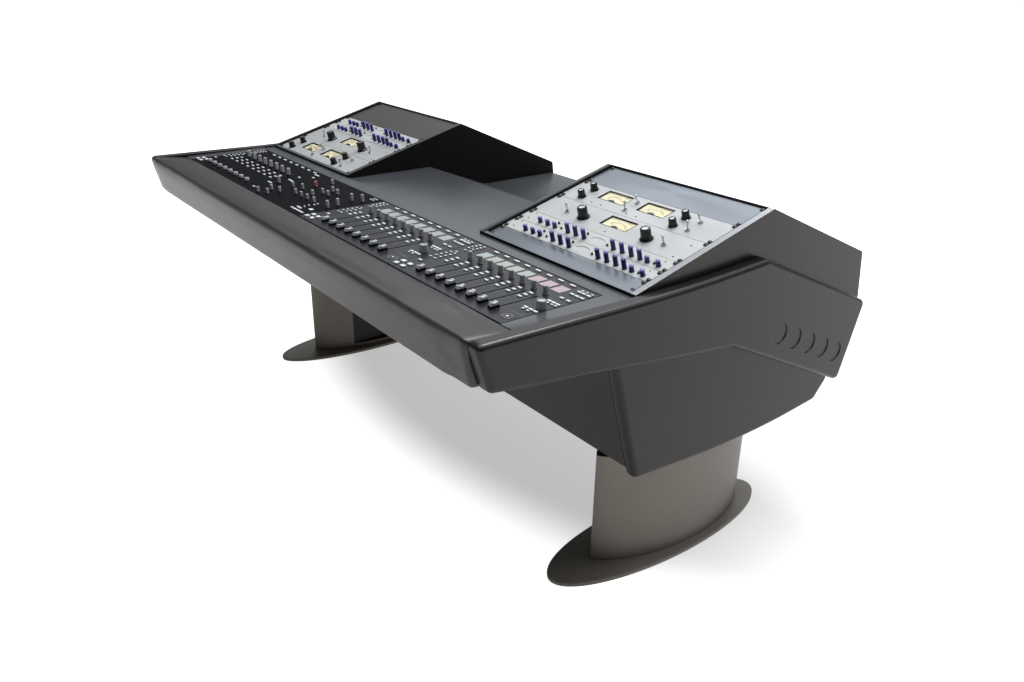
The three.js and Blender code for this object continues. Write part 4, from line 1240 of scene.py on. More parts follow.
def toggle_collar(bm, x, y, height):
    """The threaded collar and hex nut of a toggle switch."""
    coat(rod(bm, (x, y), 6.6, PANEL_TOP, PANEL_TOP + 1.8, 6), NICKEL)
    ring = turned(bm, [
        (4.0, PANEL_TOP), (5.6, PANEL_TOP + 1.7), (5.6, PANEL_TOP + 3.6), (5.2, PANEL_TOP + height),
        (4.2, PANEL_TOP + height), (4.0, PANEL_TOP),
    ], 20, (x, y, 0))
    coat(ring, NICKEL)


def toggle_bat(bm, x, y, foot):
    """A bat-shaped lever: thin at its foot and swelling to a round tip."""
    return turned(bm, [
        (0, foot), (0.9, foot), (1.5, foot + 1.2), (1.6, foot + 6), (2.4, foot + 18), (2.75, foot + 21.2),
        (2.2, foot + 23.2), (1.1, foot + 24), (0, foot + 24),
    ], 14, (x, y, 0))


def fixed_toggle(bm, x, y, foot, lean):
    """A lever that leans up or down the slope by some degrees."""
    bat = toggle_bat(bm, x, y, foot)
    tilt = at(x, y, PANEL_TOP) @ Matrix.Rotation(math.radians(lean), 4, "X") @ at(-x, -y, -PANEL_TOP)
    bmesh.ops.transform(bm, matrix=tilt, verts=bat)
    coat(bat, NICKEL)


def dial_marks(bm, x, y, reach):
    """A ring of short printed ticks round a knob."""
    for i in range(11):
        spot = round_axis(x, y, PANEL_TOP + PRINT / 2, -150 + 30 * i, reach)
        block(bm, spot, (0.5, 2.4, PRINT), INK)


class DESK_OT_blank_units(bpy.types.Operator):
    """Model the blank rack panels with their screws"""

    bl_idname = "desk.blank_units"
    bl_label = "Blank units"

    def execute(self, context):
        screw = screw_mesh()
        smoke = finish("smoke enamel", smoke_enamel)
        for node, side, first, units, material, slot in (
            ("rack_blank_right_front", 1, 0, 1, blank_aluminium(), "grey_panel"),
            ("rack_blank_right_rear", 1, 7, 2, blank_aluminium(), "grey_panel"),
            ("rack_blank_left_rear", -1, 6, 3, smoke, "smoke_panel"),
        ):
            bm, _ = unit_plate(first, units)
            fasten(bm, first, units, screw, 1)
            piece(f"{node}_panel", to_rack(bm, side), [material, black_abs()], nodes=(node,))
        return {"FINISHED"}


class DESK_OT_channel_units(bpy.types.Operator):
    """Model the pale channel units with their blue knobs, keys and printed dividers"""

    bl_idname = "desk.channel_units"
    bl_label = "Channel units"

    def execute(self, context):
        screw = screw_mesh()
        radius = in_mm(sizes().channel_knob) / 2
        tall = shaped_once(lambda bm: self.knob(bm, radius, 24.0))
        short = shaped_once(lambda bm: self.knob(bm, radius, 14.0))
        finishes = [
            finish("pale enamel", pale_enamel), black_abs(), finish("blue ABS", blue_plastic),
            finish("pale blue ABS", blue_top_highlight_plastic), white_ink(),
            finish("grey ink", printed_ink, "#6E7274"),
        ]
        for node, side, first in (
            ("channel_unit_right_1", 1, 1),
            ("channel_unit_right_2", 1, 2),
            ("channel_unit_left_1", -1, 4),
            ("channel_unit_left_2", -1, 5),
        ):
            bm, start = unit_plate(first, 1)
            middle = start + UNIT / 2
            bm = self.dished(bm, middle)
            for shares, mesh in ((TALL_KNOBS, tall), (SHORT_KNOBS, short)):
                for share in shares:
                    stamp(bm, mesh, at(share * PANEL_HALF, middle - CHANNEL_DOWN, PANEL_TOP))
            for x, up in BLACK_KEYS:
                coat(rod(bm, (x, start + up), 2.9, PANEL_TOP, PANEL_TOP + 4.2, 14, 2.5), CHANNEL_BLACK)
            for x, up in SMALL_KEYS:
                coat(rod(bm, (x, start + up), 1.5, PANEL_TOP, PANEL_TOP + 1.2, 10), CHANNEL_BLACK)
            self.print_panel(bm, start, radius)
            fasten(bm, first, 1, screw, CHANNEL_BLACK)
            piece(f"{node}_panel", to_rack(bm, side), finishes, nodes=(node,))
        return {"FINISHED"}

    def knob(self, bm, radius, height):
        """A slim ribbed knob with its cap painted paler as a highlight, and a pointer."""
        body = turned(bm, [
            (0, 0), (radius, 0), (radius, 1.2), (radius * 0.9, 2.0), (radius * 0.86, height - 3.4),
            (radius * 0.9, height - 3.2), (radius * 0.88, height - 0.6), (radius * 0.7, height), (0, height),
        ], 16)
        # The top of each knob is painted paler blue: a painted highlight.
        for face in faces_of(body):
            face.material_index = PALE_BLUE_HIGHLIGHT if face.calc_center_median().z > height - 3.3 else BLUE
        for turn in range(0, 360, 45):
            spot = Matrix.Rotation(math.radians(turn + 22), 4, "Z") @ at(radius * 0.82, 0, height / 2 - 0.6)
            block(bm, spot, (0.7, 0.9, height - 5.6), BLUE)
        coat(box(bm, (-0.5, 0.6, height - 0.2), (0.5, radius * 0.8, height + 0.2)), CHANNEL_WHITE)

    def dished(self, bm, middle):
        """The panel with the shallow oval dish at its middle, which has a rounded rim."""
        x = CHANNEL_DISH * PANEL_HALF
        cutter = bmesh.new()
        place = at(x, middle, PANEL_TOP + 1.0) @ Matrix.Diagonal((42, 20, 5, 1))
        bmesh.ops.create_cone(cutter, cap_ends=True, segments=40, radius1=0.5, radius2=0.5, depth=1.0,
                              matrix=place)
        bm = combined(bm, cutter, "DIFFERENCE")
        rims = [
            e for e in bm.edges
            if all(PANEL_TOP - 1.6 < v.co.z < PANEL_TOP + 0.1 and abs(v.co.x - x) < 22 for v in e.verts)
            and e.calc_length() < 6 and e.calc_face_angle(0.0) > 1
        ]
        soften(bm, rims, 0.7, 2)
        return bm

    def print_panel(self, bm, start, radius):
        """Dashed dividers, a dashed line under the dish, and ticks round each knob."""
        printed = PANEL_TOP + PRINT
        for x in (-11.0, 48.0, 184.0):
            for i in range(10):
                y = start + 5 + 3.6 * i
                coat(box(bm, (x - 0.35, y, PANEL_TOP), (x + 0.35, y + 2.2, printed)), GREY_INK)
        for i in range(9):
            x = -4 + 5 * i
            coat(box(bm, (x, start + 5.4, PANEL_TOP), (x + 2.6, start + 6.4, printed)), GREY_INK)
        y = start + UNIT / 2 - CHANNEL_DOWN
        for share in TALL_KNOBS + SHORT_KNOBS:
            for turn in range(-140, 141, 40):
                spot = round_axis(share * PANEL_HALF, y, PANEL_TOP + PRINT / 2, turn, radius + 2.2)
                block(bm, spot, (0.45, 1.5, PRINT), GREY_INK)


class DESK_OT_meter_units(bpy.types.Operator):
    """Model the single and paired meter units"""

    bl_idname = "desk.meter_units"
    bl_label = "Meter units"

    def execute(self, context):
        screw = screw_mesh()
        finishes = [
            finish("meter panel aluminium", meter_panel_aluminium), nickel(), lining(),
            finish("meter card", meter_card), finish("black ink", printed_ink, "#1A1A1A"),
            finish("red ink", printed_ink, "#B84A44"), finish("clear window", clear_window), spun(),
            white_ink(), black_abs(),
        ]
        for node, side, first in (("single_meter_unit_right", 1, 3), ("single_meter_unit_left", -1, 2)):
            bm, start = unit_plate(first, 2)
            bm = self.single(bm, start, side)
            fasten(bm, first, 2, screw, BLACK)
            piece(f"{node}_panel", to_rack(bm, side), finishes, nodes=(node,))
        radius = in_mm(sizes().meter_knob) / 2
        knob = shaped_once(lambda bm: fluted_knob(bm, radius, 19.0, 10, radius + 1.8))
        for node, side, first in (("double_meter_unit_right", 1, 5), ("double_meter_unit_left", -1, 0)):
            bm, start = unit_plate(first, 2)
            bm = self.pair(bm, start, knob, radius)
            fasten(bm, first, 2, screw, BLACK)
            piece(f"{node}_panel", to_rack(bm, side), finishes, nodes=(node,))
        return {"FINISHED"}

    def single(self, bm, start, side):
        """One meter between two big knobs, with a toggle switch at each end; the right unit's levers move."""
        middle = start + UNIT
        y = middle - SINGLE_DOWN
        bm = meter_wells(bm, (SINGLE_METER,), middle + METER_UP)
        meter(bm, SINGLE_METER * PANEL_HALF, middle + METER_UP)
        for share in SINGLE_TOGGLES:
            toggle_collar(bm, share * PANEL_HALF, y, 4.0)
            if side < 0:
                fixed_toggle(bm, share * PANEL_HALF, y, PANEL_TOP + 0.3, -8)
        for share in SINGLE_KNOBS:
            dial_marks(bm, share * PANEL_HALF, y, 17.5)
        for x, up in ((2.0, 14.0), (209.0, 65.0), (209.0, 11.0)):
            coat(rod(bm, (x, start + up), 1.7, PANEL_TOP, PANEL_TOP + 0.8, 12), LINER)
        return bm

    def pair(self, bm, start, knob, radius):
        """Two meters, with two knobs and two toggle switches beside each."""
        middle = start + UNIT
        bm = meter_wells(bm, PAIR_METERS, middle + METER_UP)
        for share in PAIR_METERS:
            meter(bm, share * PANEL_HALF, middle + METER_UP)
        for share in PAIR_KNOBS:
            for height in PAIR_HEIGHTS:
                stamp(bm, knob, at(share * PANEL_HALF, middle + height, PANEL_TOP), [BLACK, SPUN, WHITE_INK])
                dial_marks(bm, share * PANEL_HALF, middle + height, radius + 3.5)
        for share in PAIR_TOGGLES:
            for height, lean in zip(PAIR_HEIGHTS, (-9, 9)):
                toggle_collar(bm, share * PANEL_HALF, middle + height, 3.4)
                fixed_toggle(bm, share * PANEL_HALF, middle + height, PANEL_TOP, lean)
        for x in (-137.0, -105.0, -20.0, 12.0):
            coat(rod(bm, (x, start + 12), 1.7, PANEL_TOP, PANEL_TOP + 0.8, 12), LINER)
        for up in (16.0, 70.0):
            coat(rod(bm, (214.0, start + up), 1.5, PANEL_TOP, PANEL_TOP + 0.6, 12), NICKEL)
        return bm


class DESK_OT_gain_knobs(bpy.types.Operator):
    """Model the big skirted knobs that turn on the single-meter units"""

    bl_idname = "desk.gain_knobs"
    bl_label = "Gain knobs"

    def execute(self, context):
        size = sizes()
        body, skirt = in_mm(size.gain_body) / 2, in_mm(size.gain_skirt) / 2
        finishes = [black_abs(), spun(), white_ink()]
        for side, sign, first in (("left", -1, 2), ("right", 1, 3)):
            middle = FRONT_LIP + (first + 1) * UNIT
            for number, share in enumerate(SINGLE_KNOBS, 1):
                bm = bmesh.new()
                fluted_knob(bm, body, in_mm(size.gain_height) - 0.1, 12, skirt)
                place = (share * PANEL_HALF, middle - SINGLE_DOWN, PANEL_TOP + 0.3)
                bmesh.ops.translate(bm, vec=place, verts=bm.verts)
                node = f"gain_knob_{side}_{number}"
                piece(f"{node}_moulding", to_rack(bm, sign), finishes, body=f"{node}_body",
                      nodes=(node,))
        return {"FINISHED"}


class DESK_OT_toggle_levers(bpy.types.Operator):
    """Model the levers that tip on the right single-meter unit"""

    bl_idname = "desk.toggle_levers"
    bl_label = "Toggle levers"

    def execute(self, context):
        middle = FRONT_LIP + 4 * UNIT
        for number, share in enumerate(SINGLE_TOGGLES, 1):
            bm = bmesh.new()
            toggle_bat(bm, share * PANEL_HALF, middle - SINGLE_DOWN, PANEL_TOP + 0.3)
            node = f"toggle_lever_right_{number}"
            piece(f"{node}_bat", to_rack(bm, 1), [nickel()], body=f"{node}_body",
                  nodes=(node,))
        return {"FINISHED"}


# Control surface


class DESK_OT_control_surface(bpy.types.Operator):
    """Model the control surface's plates, chassis and fader slots"""

    bl_idname = "desk.control_surface"
    bl_label = "Control surface"

    def execute(self, context):
        under = CONSOLE_TOP - CONSOLE_PLATE
        front, rear = CONSOLE_Y
        plates = bmesh.new()
        for i, (low, high) in enumerate(zip(MODULE_EDGES, MODULE_EDGES[1:])):
            near, far = low + (0.5 if i else 0), high - (0.5 if i < 3 else 0)
            plate = soft_box(plates, (near, front, under), (far, rear, CONSOLE_TOP), 0.7, 2)
            paint(plate, 1 if i < 2 else 0)
        plates = combined(plates, self.openings(), "DIFFERENCE")
        for x in FADER_BANKS:
            for sign in (-1, 1):
                near, far = sorted((x + sign * 2.0, x + sign * 3.1))
                strip = box(plates, (near, FADER_Y - 6, CONSOLE_TOP - 0.5),
                            (far, FADER_Y + FADER_TRAVEL + 6, CONSOLE_TOP + PRINT))
                coat(strip, 2)
        finishes = [
            finish("console enamel", console_enamel), finish("dark console enamel", dark_console_enamel),
            black_abs(),
        ]
        piece("console_face", plates, finishes, nodes=("control_surface",))
        chassis = bmesh.new()
        soft_box(chassis, (8 - CONSOLE_HALF, front + 17.7, under - CONSOLE_CHASSIS),
                 (CONSOLE_HALF - 8, rear - 18, under - 0.05), 1.0, 1)
        chassis = combined(chassis, self.openings(), "DIFFERENCE")
        piece("console_chassis", chassis, [steel()])
        rims = bmesh.new()
        half, rim, top = CONSOLE_HALF, CONSOLE_RIM, CONSOLE_TOP + 0.35
        for low, high in (
            ((-half, front, under), (half, front + rim, top)),
            ((-half, rear - rim, under), (half, rear, top)),
            ((-half, front + rim, under), (rim - half, rear - rim, top)),
            ((half - rim, front + rim, under), (half, rear - rim, top)),
            ((-half, rear + 0.1, under - 8), (half, rear + 5.8, CONSOLE_TOP - 2.6)),
        ):
            soft_box(rims, low, high, 0.3, 1)
        piece("console_frame", rims, [lining()])
        return {"FINISHED"}

    def openings(self):
        """The fader slots and the wheels' pin holes."""
        cutter = bmesh.new()
        for x in FADER_BANKS:
            box(cutter, (x - 2, FADER_Y - 5, CONSOLE_TOP - 22),
                (x + 2, FADER_Y + FADER_TRAVEL + 5, CONSOLE_TOP + 5))
        for x in WHEELS:
            rod(cutter, (x, WHEEL_Y), 3.0, CONSOLE_TOP - 6.5, CONSOLE_TOP + 5, 20)
        return cutter


def key_mesh(width, depth, height):
    def build(bm):
        soft_box(bm, (-width / 2, -depth / 2, -0.5), (width / 2, depth / 2, height), 0.7, 2)

    return shaped_once(build)


class DESK_OT_keys(bpy.types.Operator):
    """Model the rows and columns of small keys on the control surface"""

    bl_idname = "desk.keys"
    bl_label = "Keys"

    def execute(self, context):
        size = sizes()
        wide, deep, tall = in_mm(size.key_width), in_mm(size.key_depth), in_mm(size.key_height)
        small = key_mesh(wide * 0.62, deep * 0.72, tall)
        plain = key_mesh(wide, deep, tall)
        long = key_mesh(wide * 1.45, deep, tall)
        big = key_mesh(wide * 1.2, deep * 1.75, tall * 1.15)
        rows = []
        # Over and under the screens and encoders of each channel
        for bank, shift in ((RIGHT_BANK, -SCREEN_SHIFT), (MIDDLE_BANK, SCREEN_SHIFT)):
            rows += [(long, x + shift, -251.7) for x in bank]
            rows += [(plain, x - 18.4, y) for x in bank for y in (-344.3, -358.5, -372.5)]
        rows += [(long, x + 24.0, -252.5) for x in LEFT_BANK]
        rows += [(plain, x, y) for x in LEFT_BANK for y in (-349, -364, -380)]
        # Two columns at the left of each section
        for left in (411.5, -19.5, -795.0):
            for y in (-253.5, -263.5, -273.5, -284.0, -331.0, -343.5, -356.0, -368.5, -383.0):
                rows += [(small, left + 5.5, y), (small, left + 22.5, y)]
            rows += [(small, left + 14, -299), (small, left + 14, -322), (plain, left + 14, -414)]
            rows += [(big, left + x, y) for x in (1.0, 27.0) for y in (-447, -464.5)]
        # Clusters round the data wheels
        for wheel in WHEELS:
            shift = 0 if wheel > 500 else 4
            for mesh, y, spots in (
                (small, -256, (-22, -9, 5)), (plain, -265, (-22, -9, 5)), (plain, -284, (-21.5, -7, 6.5)),
                (plain, -313.5, (-17, 2)), (plain, -341.5, (-20, -7.5, 5)), (small, -350.5, (-14, -2, 8)),
                (plain, -397.5, (-20, -5, 8)), (small, -406, (-18, -4)),
            ):
                rows += [(mesh, wheel + x + shift, y) for x in spots]
        # The monitor section
        rows += [(small, -103.0 + 4 * (i % 2), y) for i, y in enumerate((-396, -407, -420, -434))]
        rows += [(big, -62.0, -433.5), (plain, -104.0, -449), (plain, -92.0, -449)]
        rows += [(plain, x, -463.5) for x in (-108.0, -94.0, -80.0, -66.0, -52.0)]
        rows += [(small, x, y) for x in (-66.0, -54.0) for y in (-251, -262)]
        edge_keys = (-262, -262, -283, -314, -349, -349, -405, -405, -459)
        rows += [(plain, -392 + 13 * (i % 3), y) for i, y in enumerate(edge_keys)]
        bm = bmesh.new()
        for mesh, x, y in rows:
            stamp(bm, mesh, at(x, y, CONSOLE_TOP))
        piece("silicone_keys", bm, [finish("silicone key", silicone_key)], sharp=50)
        return {"FINISHED"}


class DESK_OT_screens(bpy.types.Operator):
    """Model the row of small screens over the fader banks"""

    bl_idname = "desk.screens"
    bl_label = "Screens"

    def execute(self, context):
        finishes = [
            finish("screen film green", screen_glass, linear("#99A29B")),
            finish("screen film grey", screen_glass, tuple(colours().screen)),
            finish("screen film rose", screen_glass, linear("#A6979C")),
            black_abs(),
        ]
        bm = bmesh.new()
        for i, x in enumerate(RIGHT_BANK):
            self.screen(bm, x - SCREEN_SHIFT, 2 if i > 4 else 0)
        for x in MIDDLE_BANK:
            self.screen(bm, x + SCREEN_SHIFT, 1)
        piece("channel_screens", bm, finishes, sharp=50)
        return {"FINISHED"}

    def screen(self, bm, x, index):
        """One screen: a black frame and a pane of film."""
        paint(soft_box(bm, (x - 15.2, -300.6, CONSOLE_TOP - 0.5), (x + 15.2, -266.4, CONSOLE_TOP + 0.5),
                       0.4, 1), 3)
        pane = soft_box(bm, (x - 14, -299.4, CONSOLE_TOP), (x + 14, -267.6, CONSOLE_TOP + 0.9), 0.5, 2)
        paint(pane, index)


class DESK_OT_encoders(bpy.types.Operator):
    """Model the encoders, the small knobs of the left modules and the round pads"""

    bl_idname = "desk.encoders"
    bl_label = "Encoders"

    def execute(self, context):
        radius = in_mm(sizes().encoder) / 2
        finishes = [
            black_abs(), grey_abs(), finish("silver ABS", silver_plastic), finish("rose ABS", red_plastic),
            white_ink(),
        ]
        channels, modules, pads = bmesh.new(), bmesh.new(), bmesh.new()
        for bm, height, grip, width, places in (
            (channels, 18.0, 1, radius, [(x, ENCODER_Y) for x in FADER_BANKS]),
            (channels, 20.0, 2, radius, [(x, ENCODER_Y) for x in LEFT_BANK]),
            (modules, 14.0, 2, SLIM_KNOB, SLIM_KNOBS),
            (modules, 15.0, 3, SLIM_KNOB, [ROSE_KNOB]),
            (modules, 19.0, 2, SLIM_KNOB, TALL_SLIM_KNOBS),
            (modules, 9.0, 2, 7.0, [(x, FADER_Y - 2) for x in LEFT_BANK]),
        ):
            knob = shaped_once(lambda one: self.encoder(one, height, grip, width))
            for x, y in places:
                stamp(bm, knob, at(x, y, CONSOLE_TOP))
        for wheel in WHEELS:
            self.round_pad(pads, wheel - 6)
            for i in range(14):
                dot = rod(pads, (wheel - 26 + 3.2 * i, -427), 0.5, CONSOLE_TOP - 0.2, CONSOLE_TOP + 0.15, 6)
                coat(dot, 4)
        piece("channel_encoders", channels, finishes, sharp=40)
        piece("module_knobs", modules, finishes, sharp=40)
        piece("round_pads", pads, finishes, sharp=40)
        return {"FINISHED"}

    def encoder(self, bm, height, grip, width):
        """A small knob on a black skirt."""
        turned(bm, [(0, 0), (width * 1.18, 0), (width * 1.18, 1.6), (width, 2.4), (0, 2.4)], 24)
        body = turned(bm, [
            (0, 2.2), (width, 2.2), (width * 0.94, height - 1.2), (width * 0.84, height), (0, height),
        ], 24)
        coat(body, grip)

    def round_pad(self, bm, x):
        """A low round pad with a ring of printed dots and a raised middle."""
        turned(bm, [(0, -0.4), (13, -0.4), (13, 0.5), (12.3, 1.0), (9.5, 0.6), (0, 0.6)], 40,
               (x, ROUND_PAD_Y, CONSOLE_TOP))
        low = CONSOLE_TOP + 0.5
        for i in range(20):
            turn = math.radians(18 * i)
            place = (x + 10.9 * math.cos(turn), ROUND_PAD_Y + 10.9 * math.sin(turn))
            coat(rod(bm, place, 0.55, low, CONSOLE_TOP + 1.0, 6), 4)
        coat(rod(bm, (x, ROUND_PAD_Y), 2.6, low, CONSOLE_TOP + 1.4, 16, 2.2), 4)


class DESK_OT_scales(bpy.types.Operator):
    """Print the short scale marks beside the fader slots and round the encoders"""

    bl_idname = "desk.scales"
    bl_label = "Scales"

    def execute(self, context):
        bm = bmesh.new()
        for x in FADER_BANKS:
            for i in range(13):
                y = FADER_Y + 2 + 8 * i
                wide = 3.4 if i % 3 == 0 else 2.0
                box(bm, (x + 5.2, y - 0.3, CONSOLE_TOP - 0.2), (x + 5.2 + wide, y + 0.3, CONSOLE_TOP + 0.1))
            for i in range(9):
                block(bm, round_axis(x, ENCODER_Y, CONSOLE_TOP, -132 + 33 * i, 9.4), (0.5, 1.4, 0.2))
        piece("printed_scales", bm, [finish("pale ink", printed_ink, "#9A9CA0")], even=False)
        return {"FINISHED"}


class DESK_OT_faders(bpy.types.Operator):
    """Model the fader caps on their stems"""

    bl_idname = "desk.faders"
    bl_label = "Faders"

    def execute(self, context):
        finishes = [black_abs(), finish("frosted polycarbonate", frosted_cap), white_ink()]
        mesh = shaped_once(self.cap)
        for number, x in enumerate(FADER_BANKS, 1):
            bm = bmesh.new()
            stamp(bm, mesh, at(x, FADER_Y))
            node = f"fader_cap_{number}"
            piece(f"{node}_moulding", bm, finishes, body=f"{node}_body", nodes=(node,))
        return {"FINISHED"}

    def cap(self, bm):
        """A cap on its stem: black foot, frosted top with a hollow for the finger, three grip lines."""
        foot, half = CONSOLE_TOP + 0.5, 5.5
        side_outline(bm, [(-11, foot), (11, foot), (10.0, foot + 5.5), (-10.0, foot + 5.5)], -half)
        extruded(bm, bm.faces[:], (2 * half, 0, 0))
        bmesh.ops.recalc_face_normals(bm, faces=bm.faces)
        soften(bm, bm.edges[:], 0.5, 2)
        known = set(bm.faces)
        hollow = [
            (-9.8, foot + 5.3), (9.8, foot + 5.3), (7.5, foot + 12, 0.8), (0, foot + 9.5, 9),
            (-7.5, foot + 12, 0.8),
        ]
        side_outline(bm, hollow, -half + 0.2, 4)
        extruded(bm, [f for f in bm.faces if f not in known], (2 * half - 0.4, 0, 0))
        fresh = [f for f in bm.faces if f not in known]
        bmesh.ops.recalc_face_normals(bm, faces=fresh)
        rims = [e for f in fresh for e in f.edges if abs(e.verts[0].co.x - e.verts[1].co.x) < 1e-3]
        soften(bm, list(dict.fromkeys(rims)), 0.5, 2)
        paint([f for f in bm.faces if f not in known], 1)
        for y in (-3.2, 0, 3.2):
            rise = foot + 9.5 + 0.26 * abs(y) - (0 if y else 0.05)
            coat(box(bm, (-5.2, y - 0.3, rise - 0.6), (5.2, y + 0.3, rise + 0.45)), 2 if y == 0 else 0)
        soft_box(bm, (-1.6, -4, CONSOLE_TOP - 17), (1.6, 4, foot + 3), 0.3, 1)


class DESK_OT_data_wheels(bpy.types.Operator):
    """Model the fluted data wheels on their pins"""

    bl_idname = "desk.data_wheels"
    bl_label = "Data wheels"

    def execute(self, context):
        radius = in_mm(sizes().wheel) / 2
        finishes = [grey_abs(), spun(), white_ink()]
        for number, x in enumerate(WHEELS, 1):
            bm = bmesh.new()
            fluted_knob(bm, radius, 17.0, 14)
            rod(bm, (0, 0), 2.4, -6.2, 0.5, 20)
            bmesh.ops.translate(bm, vec=(x, WHEEL_Y, CONSOLE_TOP + 0.3), verts=bm.verts)
            node = f"data_wheel_{number}"
            piece(f"{node}_moulding", bm, finishes, body=f"{node}_body", nodes=(node,))
        return {"FINISHED"}


# Pedestals


class DESK_OT_pedestals(bpy.types.Operator):
    """Model the oval base plates and the hollow lens-shaped columns"""

    bl_idname = "desk.pedestals"
    bl_label = "Pedestals"

    def execute(self, context):
        taupe = finish("taupe powder coat", taupe_powder_coat)
        plate, column = self.plate(), self.column()
        for side, sign in SIDES:
            for name, source, node in (
                ("base_oval", plate, "base_plate"),
                ("column_shell", column, "pedestal_column"),
            ):
                copy = source.copy() if sign > 0 else mirrored(source)
                piece(f"{name}_{side}", copy, [taupe], nodes=(f"{node}_{side}",))
        plate.free()
        column.free()
        return {"FINISHED"}

    def plate(self):
        """The oval base plate with eased edges."""
        bm = bmesh.new()
        place = at(PEDESTAL_CENTRE, PLATE_CENTRE) @ Matrix.Diagonal((*PLATE_HALF, 1, 1))
        bmesh.ops.create_circle(bm, cap_ends=True, segments=160, radius=1.0, matrix=place)
        extruded(bm, bm.faces[:], (0, 0, PLATE_THICK))
        bmesh.ops.recalc_face_normals(bm, faces=bm.faces)
        soften(bm, sharp_edges(bm.edges), PLATE_EDGE, 3)
        return bm

    def column(self):
        """The hollow column, pointed front and rear, with an opening in its inner side."""
        bm = bmesh.new()
        rings = []
        for inset in (0.0, COLUMN_WALL):
            made = bmesh.ops.create_circle(bm, segments=144, radius=1.0)["verts"]
            wide, deep = COLUMN_HALF[0] - inset, COLUMN_HALF[1] - inset * COLUMN_HALF[1] / COLUMN_HALF[0]
            for vert in made:
                bulge = math.copysign(abs(vert.co.x) ** COLUMN_POINT, vert.co.x)
                vert.co = (PEDESTAL_CENTRE + wide * bulge, COLUMN_CENTRE + deep * vert.co.y, COLUMN_Z[0])
            rings.append(edges_of(made))
        foot = bmesh.ops.bridge_loops(bm, edges=rings[0] + rings[1])["faces"]
        extruded(bm, foot, (0, 0, COLUMN_Z[1] - COLUMN_Z[0]))
        bmesh.ops.recalc_face_normals(bm, faces=bm.faces)
        cutter = bmesh.new()
        inner = PEDESTAL_CENTRE - COLUMN_HALF[0]
        outward, inward, half, border = COLUMN_OPENING
        box(cutter, (inner - outward, COLUMN_CENTRE - half, COLUMN_Z[0] + border),
            (inner + inward, COLUMN_CENTRE + half, COLUMN_Z[1] - border))
        bm = combined(bm, cutter, "DIFFERENCE")
        soften(bm, sharp_edges(bm.edges, 50), 0.8, 2)
        return bm


# Stage


